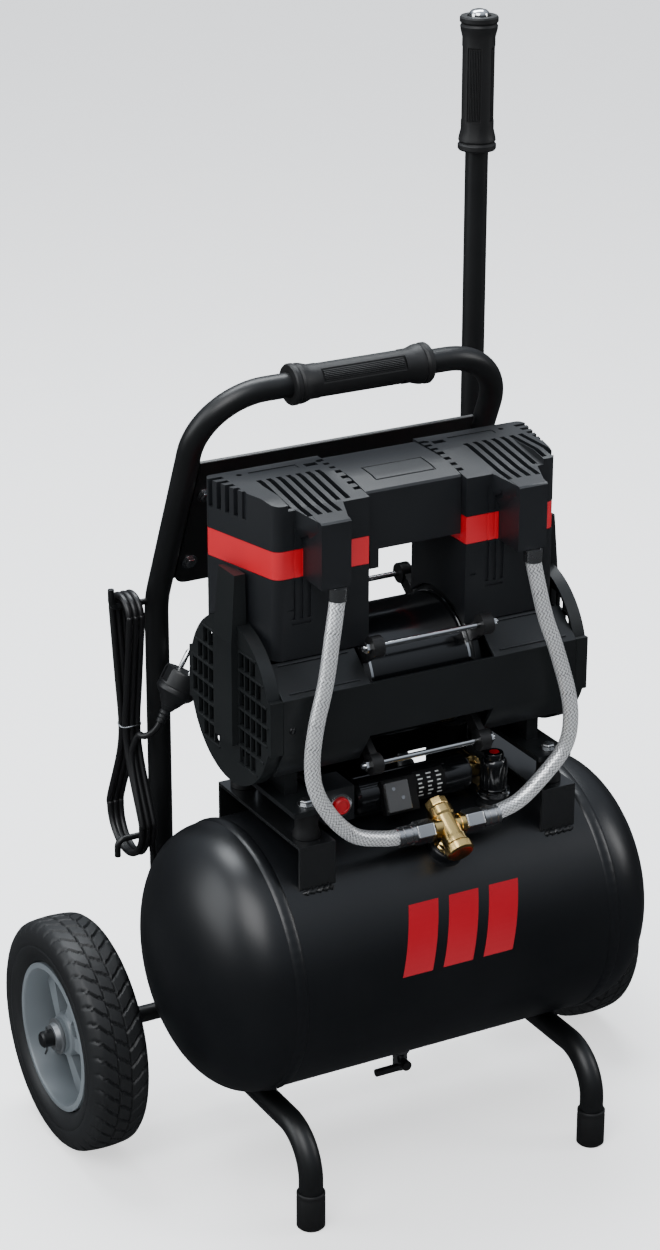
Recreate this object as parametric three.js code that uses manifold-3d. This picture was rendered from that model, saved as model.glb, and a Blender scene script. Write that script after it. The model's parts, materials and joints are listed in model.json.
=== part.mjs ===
// Portable twin-head oil-free air compressor on a two-wheel trolley tank.
// Millimetres, +Z up. X runs along the tank and the front faces -Y.
// Places are written from the tank's axis (y = 0) and the ground (z = 0).
// The last lines move everything back so that the origin is under the middle of the outline.
import * as THREE from 'three';
import { mergeVertices } from 'three/addons/utils/BufferGeometryUtils.js';
import Module from 'manifold-3d';

const wasm = await Module();
wasm.setup();

// ---- driving dimensions -------------------------------------------------
const GAP = 0.3;

const TANK = { radius: 122.5, z: 222, seam: 163, dome: 68, power: 2.3, wall: 2.5 };
const AXLE = { y: 126, z: 109.5, radius: 8, half: 300 };
const WHEEL = { radius: 109.5, rim: 71, outer: 292.5, width: 56 };
const FOOT = { x: 147.7, y: -113.5, tube: 11, level: 88.2, bend: 42, back: 24, cap: 13, capHeight: 36 };

const FRAME = { x: 152, y: 171.7, radius: 11, bottom: 95, bendZ: 500.8, topY: 74.3, topZ: 717.6, corner: 62 };
const LEAN = Math.atan2(FRAME.y - FRAME.topY, FRAME.topZ - FRAME.bendZ);
const GRIP = { x: 1, half: 69, radius: 15.5, collar: 18.5 };
const MAST = { x: 176.5, y: 170, radius: 10.5, bore: 8.5, bottom: 330, top: 985, grip: 877, end: 999 };
const SLEEVE = { radius: 13.5, bore: 11.2, bottom: 300, top: 500, slotTop: 352 };
const LOCK = { z: 343, radius: 4 };

const PUMP = { x: -2, y: 10, z: 465 };
const MOTOR = { radius: 60, flange: 65, bore: 34, half: 58 };
const ROD = { y: 71, z: 55, radius: 2.6, half: 67 };
const HEAD = { x: 96.5, inner: 48, outerFront: 140, outerBack: 159, front: -48, back: 45, top: 191, bottom: 48 };
const NOSE = { half: 13.5, front: -90, bottom: 121, top: 184, port: 10 };
const BAND = { bottom: 122, top: 147, depth: 2 };
const SHROUD_WALL = 4;
const GUARD = { end: 159, rim: 12, radius: 76, tabY: 77, tabZ: 24.5, wall: 3, duct: 17, ductOut: 165 };
const CRANK = { throw: 5, pin: 13, half: 6, bore: 31, piston: 25 };
const SHAFT = 7;
const FAN = { start: 136, end: 149, radius: 58, blades: 6 };

const SADDLE = { inner: 105, outer: 140, top: 356, front: -80, back: 75, plate: 3 };
const MOUNT = { x: 123, front: -60, back: 58, radius: 12, top: 381 };
const VALVE = { x: 8, y: -78, z: 342.8, angle: 33, stem: -10 };
const HOSE_RADIUS = 7;
const CAPACITOR = { y: -25, z: 364, radius: 17, left: -60, right: 57 };
const SWITCH = { x: -80, y: -25, z: 368, half: 15 };
const REGULATOR = { x: 75.5, y: -45, radius: 12.5, bottom: 352, top: 387 };
const DRAIN = { x: 8, y: 0, lever: 68 };
const CORD = { radius: 3.1, x: -181, y: 171, top: 514, bottom: 254, tie: 385 };

// ---- solids -------------------------------------------------------------
function toSolid(geometry) {
  const bare = geometry.clone();
  bare.deleteAttribute('normal');
  bare.deleteAttribute('uv');
  const merged = mergeVertices(bare, 1e-4);
  const index = merged.index.array;
  const triangles = [];
  for (let i = 0; i < index.length; i += 3) {
    const [a, b, c] = [index[i], index[i + 1], index[i + 2]];
    if (a !== b && b !== c && c !== a) triangles.push(a, b, c);
  }
  const vertProperties = new Float32Array(merged.attributes.position.array);
  const build = (list) => new wasm.Manifold(
    new wasm.Mesh({ numProp: 3, vertProperties, triVerts: new Uint32Array(list) }));
  const solid = build(triangles);
  return solid.volume() > 0 ? solid : build(triangles.reverse());
}

function toGeometry(solid) {
  const mesh = solid.getMesh();
  const geometry = new THREE.BufferGeometry();
  geometry.setAttribute('position', new THREE.BufferAttribute(new Float32Array(mesh.vertProperties), 3));
  geometry.setIndex(new THREE.BufferAttribute(new Uint32Array(mesh.triVerts), 1));
  geometry.computeVertexNormals();
  return geometry;
}

const join = (first, ...rest) => toGeometry(rest.reduce((sum, g) => sum.add(toSolid(g)), toSolid(first)));
const cut = (first, ...tools) => toGeometry(tools.reduce((sum, g) => sum.subtract(toSolid(g)), toSolid(first)));

// ---- shapes -------------------------------------------------------------
// Turn a shape made along its own Z (or a lathe made along Y) onto an axis of the object.
function alongAxis(geometry, axis, madeAlong = 'z') {
  if (madeAlong === 'y') geometry.rotateX(Math.PI / 2);
  if (axis === 'x') geometry.applyMatrix4(new THREE.Matrix4().set(0, 0, 1, 0, 1, 0, 0, 0, 0, 1, 0, 0, 0, 0, 0, 1));
  if (axis === 'y') geometry.applyMatrix4(new THREE.Matrix4().set(1, 0, 0, 0, 0, 0, 1, 0, 0, -1, 0, 0, 0, 0, 0, 1));
  return geometry;
}

// u and v are the other two coordinates in the order x, y, z.
function place(geometry, axis, u, v) {
  if (axis === 'x') return geometry.translate(0, u, v);
  if (axis === 'y') return geometry.translate(u, 0, v);
  return geometry.translate(u, v, 0);
}

function box(x0, x1, y0, y1, z0, z1) {
  const geometry = new THREE.BoxGeometry(x1 - x0, y1 - y0, z1 - z0);
  return geometry.translate((x0 + x1) / 2, (y0 + y1) / 2, (z0 + z1) / 2);
}

function rod(axis, radius, from, to, u, v, sides = 24) {
  const geometry = new THREE.CylinderGeometry(radius, radius, to - from, sides);
  geometry.rotateX(Math.PI / 2).translate(0, 0, (from + to) / 2);
  return place(alongAxis(geometry, axis), axis, u, v);
}

// profile: [radius, distance along the axis] pairs
function turned(axis, profile, u, v, sides = 32) {
  const points = profile.map(([r, t]) => new THREE.Vector2(r, t));
  const geometry = new THREE.LatheGeometry(points, sides);
  return place(alongAxis(geometry, axis, 'y'), axis, u, v);
}

// outline: [first, second] pairs of the two coordinates across the axis, in the order x, y, z
function slab(axis, outline, from, to, holes = []) {
  const flip = axis === 'y' ? -1 : 1;
  const toPoints = (list) => list.map(([a, b]) => new THREE.Vector2(a, flip * b));
  const shape = new THREE.Shape(toPoints(outline));
  holes.forEach((hole) => shape.holes.push(new THREE.Path(toPoints(hole))));
  const geometry = new THREE.ExtrudeGeometry(shape, { depth: to - from, bevelEnabled: false });
  return alongAxis(geometry.translate(0, 0, from), axis);
}

function arc(cx, cy, radius, from, to, steps) {
  const points = [];
  for (let i = 0; i <= steps; i += 1) {
    const angle = THREE.MathUtils.degToRad(from + (to - from) * i / steps);
    points.push([cx + radius * Math.cos(angle), cy + radius * Math.sin(angle)]);
  }
  return points;
}

// A path whose extrusion steps fall exactly on the given points.
class StationPath extends THREE.Curve {
  constructor(points) {
    super();
    this.points = points.map((p) => new THREE.Vector3(...p));
  }

  getPointAt(u, target = new THREE.Vector3()) {
    const place = Math.min(1, Math.max(0, u)) * (this.points.length - 1);
    const index = Math.min(this.points.length - 2, Math.floor(place + 1e-9));
    return target.copy(this.points[index]).lerp(this.points[index + 1], place - index);
  }

  getTangentAt(u, target = new THREE.Vector3()) {
    const index = Math.round(u * (this.points.length - 1));
    const before = this.points[Math.max(0, index - 1)];
    const after = this.points[Math.min(this.points.length - 1, index + 1)];
    return target.copy(after).sub(before).normalize();
  }
}

function tube(points, radius, sides = 12) {
  const shape = new THREE.Shape(arc(0, 0, radius, 0, 360 - 360 / sides, sides - 1)
    .map(([a, b]) => new THREE.Vector2(a, b)));
  const settings = { steps: points.length - 1, bevelEnabled: false, extrudePath: new StationPath(points) };
  return new THREE.ExtrudeGeometry(shape, settings);
}

function smooth(points, steps) {
  const curve = new THREE.CatmullRomCurve3(points.map((p) => new THREE.Vector3(...p)), false, 'centripetal');
  return curve.getSpacedPoints(steps).map((p) => [p.x, p.y, p.z]);
}

// Corners of a bent tube become arcs of one bend radius.
function bent(corners, radius, stepAngle = 12) {
  const path = [corners[0]];
  for (let i = 1; i < corners.length - 1; i += 1) {
    const corner = new THREE.Vector3(...corners[i]);
    const back = new THREE.Vector3(...corners[i - 1]).sub(corner).normalize();
    const on = new THREE.Vector3(...corners[i + 1]).sub(corner).normalize();
    const turn = Math.PI - back.angleTo(on);
    const reach = radius * Math.tan(turn / 2);
    const start = corner.clone().addScaledVector(back, reach);
    const side = on.clone().addScaledVector(back, -back.dot(on)).normalize();
    const steps = Math.max(2, Math.ceil(THREE.MathUtils.radToDeg(turn) / stepAngle));
    for (let j = 0; j <= steps; j += 1) {
      const angle = turn * j / steps;
      const point = start.clone().addScaledVector(back, -radius * Math.sin(angle));
      point.addScaledVector(side, radius * (1 - Math.cos(angle)));
      path.push(point.toArray());
    }
  }
  path.push(corners[corners.length - 1]);
  return path;
}

// ---- materials and nodes ------------------------------------------------
const finish = (color, roughness, metalness = 0) => ({ color, roughness, metalness });
const BLACK_PAINT = finish(0x17181a, 0.35);
const SATIN_BLACK = finish(0x1b1c1e, 0.5);
const BLACK_PLASTIC = finish(0x1f2226, 0.55);
const RUBBER = finish(0x141414, 0.85);
const RED_PLASTIC = finish(0xd9251d, 0.4);
const GREY_PLASTIC = finish(0x8d9296, 0.5);
const BRASS = finish(0xcaa75a, 0.3, 0.9);
const STEEL = finish(0xb9bcc0, 0.3, 0.95);
const ALLOY = finish(0x9a9da1, 0.5, 0.8);

const compressor = new THREE.Group();
const onGround = new THREE.Group();
compressor.add(onGround);

function node(name, geometry, look, parent = onGround) {
  const mesh = new THREE.Mesh(toGeometry(toSolid(geometry)), new THREE.MeshStandardMaterial(look));
  mesh.name = name;
  parent.add(mesh);
  return mesh;
}

const pump = new THREE.Group();
pump.position.set(PUMP.x, PUMP.y, PUMP.z);
onGround.add(pump);

const SIDES = [['left', -1], ['right', 1]];
const mirrored = (side, geometry) => (side < 0 ? geometry.scale(-1, 1, 1) : geometry);

// ---- tank ---------------------------------------------------------------
function tankProfile(radius, dome, steps) {
  const half = [];
  for (let i = 0; i <= steps; i += 1) {
    const share = Math.sin(Math.PI / 2 * i / steps);
    const r = i === steps ? 0 : radius * (1 - share ** TANK.power) ** (1 / TANK.power);
    half.push([r, TANK.seam + dome * share]);
  }
  const lower = half.map(([r, t]) => [r, -t]).reverse();
  return [...lower, ...half];
}

function tankBody(radius, dome = TANK.dome, steps = 6, sides = 32) {
  return turned('x', tankProfile(radius, dome, steps), 0, TANK.z, sides);
}

// A fitting made upright at the origin, leaned forward on the tank's shoulder.
function onShoulder(geometry) {
  return geometry.rotateX(THREE.MathUtils.degToRad(VALVE.angle)).translate(VALVE.x, VALVE.y, VALVE.z);
}

function makeTank() {
  const cavity = tankBody(TANK.radius - TANK.wall - 1, TANK.dome - TANK.wall - 1, 3, 20);
  const portBoss = onShoulder(rod('z', 15, -30, -13, 0, VALVE.stem));
  const portHole = onShoulder(rod('z', 7, -60, 0, 0, VALVE.stem, 12));
  const bottom = TANK.z - TANK.radius;
  const drainBoss = rod('z', 9, bottom - 5, bottom + 1, DRAIN.x, DRAIN.y);
  const drainHole = rod('z', 4, bottom - 10, bottom + 40, DRAIN.x, DRAIN.y, 12);
  return cut(join(tankBody(TANK.radius), portBoss, drainBoss), cavity, portHole, drainHole);
}

const clearOfTank = () => tankBody(TANK.radius + GAP, TANK.dome, 3, 80);

function makeSaddle() {
  const { inner, outer, top, front, back, plate } = SADDLE;
  const deck = box(inner, outer, front, back, top - plate, top);
  const frontFlange = box(inner, outer, front, front + plate, top - 50, top - 1);
  const backFlange = box(inner, outer, back - plate, back, top - 50, top - 1);
  return cut(join(deck, frontFlange, backFlange), clearOfTank());
}

node('tank_shell', makeTank(), BLACK_PAINT);
for (const [name, side] of SIDES) {
  node(`${name}_saddle`, mirrored(side, makeSaddle()), BLACK_PAINT);
  for (const [end, y] of [['front', MOUNT.front], ['rear', MOUNT.back]]) {
    const post = rod('z', MOUNT.radius, SADDLE.top + GAP, MOUNT.top, side * MOUNT.x, y, 16);
    node(`${end}_${name}_mount`, post, RUBBER);
  }
}

// ---- feet, axle and wheels ----------------------------------------------
function makeFootTube(x) {
  const corners = [[x, FOOT.back, FOOT.level], [x, FOOT.y, FOOT.level], [x, FOOT.y, 4.3]];
  return tube(bent(corners, FOOT.bend, 18), FOOT.tube, 12);
}

function makeFootCap(x) {
  const profile = [[0, 0], [FOOT.cap, 0], [FOOT.cap, FOOT.capHeight], [FOOT.tube + GAP, FOOT.capHeight],
    [FOOT.tube + GAP, 4], [0, 4]];
  return turned('z', profile, x, FOOT.y, 16);
}

const WHEEL_MIDDLE = WHEEL.outer - WHEEL.width / 2;

function makeTyre() {
  const half = WHEEL.width / 2;
  const side = [[WHEEL.rim, 21], [WHEEL.rim + 8, half - 1], [96, half], [106, half - 4], [WHEEL.radius, half - 14]];
  const other = side.map(([r, t]) => [r, -t]).reverse();
  const loop = [...side, ...other, side[0]];
  return turned('x', loop.map(([r, t]) => [r, WHEEL_MIDDLE + t]), AXLE.y, AXLE.z, 32);
}

function makeRim() {
  const edge = WHEEL.rim - 1;
  const loop = [[AXLE.radius + GAP, -24], [20, -24], [20, 2], [58, 0], [62, -24], [edge, -24], [edge, 24], [64, 24],
    [57, 7], [24, 10], [22, 18], [AXLE.radius + GAP, 18]];
  loop.push(loop[0]);
  return turned('x', loop.map(([r, t]) => [r, WHEEL_MIDDLE + t]), AXLE.y, AXLE.z, 24);
}

function makeAxleNut() {
  const start = WHEEL_MIDDLE + 18 + GAP;
  const profile = [[0, start], [15, start], [15, start + 3], [11.5, start + 3], [11.5, start + 11], [0, start + 11]];
  return turned('x', profile, AXLE.y, AXLE.z, 18);
}

// The axle carries a nut at each end, outside the wheels.
function makeAxle() {
  const bar = rod('x', AXLE.radius, -AXLE.half, AXLE.half, AXLE.y, AXLE.z, 20);
  return join(bar, makeAxleNut(), mirrored(-1, makeAxleNut()));
}

node('axle', makeAxle(), STEEL);
for (const [name, side] of SIDES) {
  node(`${name}_foot_tube`, makeFootTube(side * FOOT.x), BLACK_PAINT);
  node(`${name}_foot_cap`, makeFootCap(side * FOOT.x), RUBBER);
  node(`${name}_tyre`, mirrored(side, makeTyre()), RUBBER);
  node(`${name}_rim`, mirrored(side, makeRim()), GREY_PLASTIC);
}

// ---- carry frame, mast and hooks -----------------------------------------
function makeHook(z, drop, tip) {
  const out = CORD.x - 16;
  const corners = [[-FRAME.x - 4, CORD.y, z], [out, CORD.y, z - drop], [out, CORD.y, z - drop + tip]];
  return tube(bent(corners, 7, 30), 3, 8);
}

function makeCarryFrame() {
  const { x, y, bottom, bendZ, topY, topZ } = FRAME;
  const corners = [[-x, y, bottom], [-x, y, bendZ], [-x, topY, topZ], [x, topY, topZ], [x, y, bendZ], [x, y, bottom]];
  const hoop = tube(bent(corners, FRAME.corner, 15), FRAME.radius, 12);
  const gussets = [-1, 1].flatMap((side) => {
    const [from, to] = side < 0 ? [-x - 3, -x + 3] : [x - 3, x + 3];
    return [box(from, to, AXLE.y - 14, y - 6, AXLE.z - 14, AXLE.z + 16),
      box(from, to, 100, y - 6, TANK.z - 16, TANK.z + 16)];
  });
  const lugs = [-1, 1].map((side) => {
    const [from, to] = side < 0 ? [-x + 4, -x + 34] : [x - 34, x - 4];
    return box(from, to, 2 + GAP, 6, 20, 150).rotateX(LEAN).translate(0, y, bendZ);
  });
  const sleeve = rod('z', SLEEVE.radius, SLEEVE.bottom, SLEEVE.top, MAST.x, MAST.y, 16);
  const web = box(x + 6, MAST.x - 4, y - 5, y + 3, SLEEVE.bottom + 10, SLEEVE.top - 20);
  const bore = rod('z', SLEEVE.bore, SLEEVE.bottom - 5, SLEEVE.top + 5, MAST.x, MAST.y, 16);
  const slot = box(MAST.x + 5, MAST.x + 20, MAST.y - 5, MAST.y + 5, SLEEVE.bottom - 5, SLEEVE.slotTop);
  const welded = join(hoop, ...gussets, ...lugs, sleeve, web, makeHook(501, 0, 18), makeHook(270, 0, -17));
  const axleHole = rod('x', AXLE.radius + GAP, -x - 10, x + 10, AXLE.y, AXLE.z, 20);
  return cut(welded, bore, slot, axleHole, clearOfTank());
}

function makeCrossPlate() {
  const half = FRAME.x - FRAME.radius - 2;
  const low = (516 - FRAME.bendZ) / Math.cos(LEAN);
  const high = (649 - FRAME.bendZ) / Math.cos(LEAN);
  const outline = [[half, high], [-half, high], ...arc(-half + 12, low + 12, 12, 180, 270, 4),
    ...arc(half - 12, low + 12, 12, 270, 360, 4)];
  return slab('y', outline, -2, 2).rotateX(LEAN).translate(0, FRAME.y, FRAME.bendZ);
}

// A rubber sleeve over a tube, with a raised collar at each end.
function gripProfile(bore, radius, collar, from, to) {
  const loop = [[bore, from], [collar, from], [collar, from + 10], [radius, from + 17], [radius, to - 17],
    [collar, to - 10], [collar, to], [bore, to]];
  return [...loop, loop[0]];
}

function makeMastGrip() {
  const outer = turned('z', gripProfile(9.7, 15, 17.5, MAST.grip, MAST.end), MAST.x, MAST.y, 16);
  return cut(outer, rod('z', MAST.radius + 2 * GAP, MAST.grip - 1, MAST.top + 1, MAST.x, MAST.y, 16));
}

function makeMastTube() {
  const { x, y, radius, bore, bottom, top } = MAST;
  const pinHole = rod('x', LOCK.radius + 0.4, x, x + 20, y, LOCK.z, 12);
  return cut(rod('z', radius, bottom, top, x, y, 16), rod('z', bore, bottom - 1, top + 1, x, y, 16), pinHole);
}

function makeMastButton() {
  const profile = [[0, 900], [3, 900], [3, 960], [7, 960], [7, 991], [9.2, 992], [9.2, 999], [7.5, 1002.5], [4, 1004],
    [0, 1004]];
  return turned('z', profile, MAST.x, MAST.y, 14);
}

node('carry_frame', makeCarryFrame(), BLACK_PAINT);
node('cross_plate', makeCrossPlate(), BLACK_PAINT);
const carryProfile = gripProfile(FRAME.radius + GAP, GRIP.radius, GRIP.collar, GRIP.x - GRIP.half, GRIP.x + GRIP.half);
node('carry_grip', turned('x', carryProfile, FRAME.topY, FRAME.topZ, 18), RUBBER);
node('mast_tube', makeMastTube(), BLACK_PAINT);
node('mast_grip', makeMastGrip(), RUBBER);
node('mast_button', makeMastButton(), STEEL);
node('mast_lock_pin', rod('x', LOCK.radius, MAST.x + 1, MAST.x + 15, MAST.y, LOCK.z, 12), STEEL);

// ---- motor and cranks, written from the shaft's axis ----------------------
const RODS = [[-ROD.y, ROD.z], [ROD.y, ROD.z], [-ROD.y, -ROD.z], [ROD.y, -ROD.z]];

function makeMotorHousing() {
  const flange = (side) => rod('x', MOTOR.flange, side < 0 ? -MOTOR.half : MOTOR.half - 7,
    side < 0 ? -MOTOR.half + 7 : MOTOR.half, 0, 0, 28);
  const lugs = RODS.flatMap(([y, z]) => [-1, 1].map((side) => {
    const lug = box(-3.5, 3.5, 58, 97, -7, 7).rotateX(Math.atan2(z, y));
    return lug.translate(side * (MOTOR.half - 3.5), 0, 0);
  }));
  const rods = RODS.map(([y, z]) => rod('x', ROD.radius, -ROD.half, ROD.half, y, z, 6));
  const body = rod('x', MOTOR.radius, -MOTOR.half + 2, MOTOR.half - 2, 0, 0, 28);
  const bore = rod('x', MOTOR.bore, -MOTOR.half - 1, MOTOR.half + 1, 0, 0, 16);
  return cut(join(body, flange(-1), flange(1), ...lugs, ...rods), bore);
}

function makeRotor() {
  const shaft = rod('x', SHAFT, -150, 150, 0, 0, 16);
  const core = rod('x', MOTOR.bore - 3, -42, 42, 0, 0, 16);
  const pins = [-1, 1].map((side) => rod('x', CRANK.pin, side * HEAD.x - CRANK.half, side * HEAD.x + CRANK.half,
    0, CRANK.throw, 20));
  return join(shaft, core, ...pins);
}

function makeConRod(side) {
  const x = side * HEAD.x;
  const eye = rod('x', CRANK.pin + 6, x - CRANK.half + 0.5, x + CRANK.half - 0.5, 0, CRANK.throw, 20);
  const stem = box(x - 4.5, x + 4.5, -7, 7, 18, 93);
  const piston = rod('z', CRANK.piston, 92, 104, x, 0, 24);
  const eyeHole = rod('x', CRANK.pin + GAP, x - 10, x + 10, 0, CRANK.throw, 20);
  return cut(join(eye, stem, piston), eyeHole);
}

function makeCrankcase() {
  const shell = rod('x', 48, 62, 132, 0, 0, 20);
  const neck = rod('z', 38, 0, 50, HEAD.x, 0, 20);
  const foot = box(106, 140, MOUNT.front - PUMP.y - 14, MOUNT.back - PUMP.y + 14, MOUNT.top + GAP - PUMP.z, -79);
  const web = box(117, 129, -46, 46, -80, -30);
  const chamber = rod('x', 42, 68, 140, 0, 0, 20);
  const shaftHole = rod('x', SHAFT + 1.5, 55, 75, 0, 0, 12);
  const throat = rod('z', CRANK.bore, 0, 60, HEAD.x, 0, 20);
  const seat = rod('z', 36 + 2 * GAP, 45 - GAP, 60, HEAD.x, 0, 20);
  return cut(join(shell, neck, foot, web), chamber, shaftHole, throat, seat);
}

function makeCylinder() {
  const profile = [[CRANK.bore, 45], [36, 45], [36, 139], [0, 139], [0, 123], [CRANK.bore, 123], [CRANK.bore, 45]];
  return turned('z', profile, HEAD.x, 0, 20);
}

function makeFan() {
  const { start, end, radius, blades } = FAN;
  const hub = rod('x', 14, start, end, 0, 0, 16);
  const disc = rod('x', radius, start, start + 2.5, 0, 0, 20);
  const vanes = [];
  for (let i = 0; i < blades; i += 1) {
    vanes.push(box(start + 1, end - 2, -1.5, 1.5, 12, radius - 2).rotateX(2 * Math.PI * i / blades));
  }
  return cut(join(hub, disc, ...vanes), rod('x', SHAFT + GAP, start - 6, end + 6, 0, 0, 16));
}

node('motor_housing', makeMotorHousing(), BLACK_PAINT, pump);
node('rotor_shaft', makeRotor(), STEEL, pump);
for (const [name, side] of SIDES) {
  node(`${name}_crankcase`, mirrored(side, makeCrankcase()), ALLOY, pump);
  node(`${name}_con_rod`, makeConRod(side), ALLOY, pump);
  node(`${name}_cylinder`, mirrored(side, makeCylinder()), ALLOY, pump);
  node(`${name}_fan`, mirrored(side, makeFan()), BLACK_PLASTIC, pump);
}

// ---- covers ---------------------------------------------------------------
// The plan of a head cover is straight inside and narrows to the front outside.
function headPlan(inset) {
  const { inner, outerFront, outerBack, front, back } = HEAD;
  return [[inner + inset, front + inset], [outerFront - 4 - inset, front + inset], [outerFront - inset, front + 4 + inset],
    [outerBack - inset, back - 5 - inset], [outerBack - 5 - inset, back - inset], [inner + inset, back - inset]];
}

function noseBox(grow, from, to, back) {
  return box(HEAD.x - NOSE.half - grow, HEAD.x + NOSE.half + grow, NOSE.front - grow, back, from, to);
}

function makeShroud() {
  const wall = SHROUD_WALL;
  const outer = slab('z', headPlan(0), HEAD.bottom, HEAD.top);
  const nose = noseBox(0, NOSE.bottom, NOSE.top, HEAD.front + 2);
  const inside = slab('z', headPlan(wall), HEAD.bottom - 5, HEAD.top - wall);
  const noseInside = noseBox(-wall, NOSE.bottom + wall, NOSE.top - wall, HEAD.front + wall + 2);
  const port = rod('z', 4, NOSE.bottom - 5, NOSE.bottom + 10, HEAD.x, NOSE.front + NOSE.port, 8);
  const groove = cut(slab('z', headPlan(-5), BAND.bottom - GAP, BAND.top + GAP),
    slab('z', headPlan(BAND.depth), BAND.bottom - 5, BAND.top + 5), noseBox(GAP, BAND.bottom - 6, BAND.top + 6, 0));
  const slots = [];
  for (let i = 0; i < 4; i += 1) {
    slots.push(box(68 + 15 * i, 75 + 15 * i, -34, 18, HEAD.top - 8, HEAD.top + 2));
    slots.push(box(130, 170, -30 + 17 * i, -22 + 17 * i, HEAD.top - 27, HEAD.top - 7));
  }
  const motorSide = rod('x', MOTOR.flange + 1, 40, 62, 0, 0, 28);
  const guardSide = rod('x', GUARD.radius + GAP, GUARD.end - GUARD.rim - GAP, 170, 0, 0, 32);
  const fanSide = rod('x', FAN.radius + 3, FAN.start - 3, 170, 0, 0, 24);
  const ductSide = box(146.5, 170, -GUARD.duct - GAP, GUARD.duct + GAP, 0, BAND.bottom - 1.7);
  return cut(join(outer, nose), inside, noseInside, port, groove, ...slots, motorSide, guardSide, fanSide, ductSide);
}

function makeBand() {
  const ring = cut(slab('z', headPlan(0), BAND.bottom, BAND.top),
    slab('z', headPlan(BAND.depth - GAP), BAND.bottom - 5, BAND.top + 5));
  return cut(ring, noseBox(2 * GAP, BAND.bottom - 6, BAND.top + 6, 0));
}

function makeCentreCover() {
  const half = HEAD.inner - 0.6;
  const shell = box(-half, half, -40, 40, 130, 190);
  const hollow = box(-half + 3, half - 3, -37, 37, 120, 187);
  const clip = box(-43, -34, -40, -36.5, 113, 132);
  return join(cut(shell, hollow), clip);
}

// Front and rear cowls are bent plates between the two fan guards.
function makeCowl(face) {
  const wall = 3;
  const ridge = GUARD.tabZ;
  const out = GUARD.tabY;
  const reach = GUARD.end - GUARD.rim - GAP;
  const middle = [[-out, ridge], [-out, -ridge], [-out + wall, -ridge], [-out + wall, ridge]];
  const end = [[-out, ridge], [-out, -ridge], [-58, -53], [-55.5, -51.3], [-out + wall, -ridge + 1],
    [-out + wall, ridge - 1.5], [-45.5, 44.6], [-47, 47]];
  const pieces = [slab('x', middle, -63, 63), slab('x', end, 62, reach), slab('x', end, -reach, -62)];
  const plate = join(...pieces);
  return face > 0 ? plate.scale(1, -1, 1) : plate;
}

function makeFanGuard() {
  const { end, rim, radius, tabY, tabZ, wall, duct, ductOut } = GUARD;
  const start = end - rim;
  const body = join(rod('x', radius, start, end, 0, 0, 32), box(start, end, -tabY, tabY, -tabZ, tabZ));
  const inside = join(rod('x', radius - wall, start - 1, end - wall, 0, 0, 24),
    box(start - 1, end - wall, -tabY + wall, tabY - wall, -tabZ + wall, tabZ - wall));
  const ductBox = box(end - wall, ductOut, -duct, duct, -40, BAND.bottom - 2);
  const foot = box(150, end - wall + 1, -duct, duct, radius - 8, BAND.bottom - 2);
  const vents = [];
  for (const y of [-50, -30, 30, 50]) {
    for (const z of [-30, 0, 30]) vents.push(box(end - 10, end + 10, y - 6, y + 6, z - 11, z + 11));
  }
  return cut(join(cut(body, inside), ductBox, foot), ...vents);
}

for (const [name, side] of SIDES) {
  node(`${name}_shroud`, mirrored(side, makeShroud()), BLACK_PLASTIC, pump);
  node(`${name}_band`, mirrored(side, makeBand()), RED_PLASTIC, pump);
  node(`${name}_fan_guard`, mirrored(side, makeFanGuard()), BLACK_PLASTIC, pump);
}
node('centre_cover', makeCentreCover(), BLACK_PLASTIC, pump);
node('front_cowl', makeCowl(-1), SATIN_BLACK, pump);
node('rear_cowl', makeCowl(1), SATIN_BLACK, pump);

// ---- air line ---------------------------------------------------------------
// Each hose leaves the underside of a nose, bows out past the cowl and ends in a nut on the valve.
const NOSE_END = [HEAD.x, PUMP.y + NOSE.front + NOSE.port, PUMP.z + NOSE.bottom - 2 * GAP];
const LEFT_HOSE = [[PUMP.x - NOSE_END[0], NOSE_END[1], NOSE_END[2]], [-99, -70.4, 573], [-106.4, -76, 544.9],
  [-115.4, -81, 506.1], [-126.6, -84, 467.2], [-130.2, -84, 433.6], [-125.2, -83, 406.2], [-108.4, -82, 377.5],
  [-85.4, -80, 355.4], [-56.9, -78.5, 345.6], [-40, -78, 343.2], [-24, -78, VALVE.z]];
const RIGHT_HOSE = [[PUMP.x + NOSE_END[0], NOSE_END[1], NOSE_END[2]], [95.2, -70.4, 573], [103.4, -78, 525.5],
  [113.8, -82, 492.4], [126, -84, 450.6], [130, -84, 422.2], [126.5, -83, 398.3], [111.7, -82, 378.7],
  [81.8, -80, 352.7], [53.3, -78, 343.6], [40, -78, VALVE.z]];
const PORT = 15.5;
const NUT = 19;
const FERRULE = 17;

function makeHose(route, side) {
  const nutStart = VALVE.x + side * (PORT + GAP);
  const nutEnd = nutStart + side * NUT;
  const ferruleEnd = nutEnd + side * FERRULE;
  const ordered = (a, b) => [Math.min(a, b), Math.max(a, b)];
  const nut = rod('x', 11, ...ordered(nutStart, nutEnd), VALVE.y, VALVE.z, 6);
  const ferrule = rod('x', 9, ...ordered(nutEnd - side, ferruleEnd), VALVE.y, VALVE.z, 16);
  return join(tube(smooth(route, 28), HOSE_RADIUS, 10), nut, ferrule);
}

function makeCheckValve() {
  const barrel = rod('y', 10.5, -20, 24, 0, 0, 20);
  const cap = rod('y', 13, -30, -20, 0, 0, 6);
  const topNut = rod('y', 11.5, 20, 27, 0, 0, 6);
  const stem = rod('z', 8.5, -13 + GAP, 0, 0, VALVE.stem, 16);
  const side = rod('x', 8.5, -PORT, PORT, 0, 0, 16);
  return onShoulder(join(barrel, cap, topNut, stem, side));
}

node('left_hose', makeHose(LEFT_HOSE, -1), STEEL);
node('right_hose', makeHose(RIGHT_HOSE, 1), STEEL);
node('check_valve', makeCheckValve(), BRASS);

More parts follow.
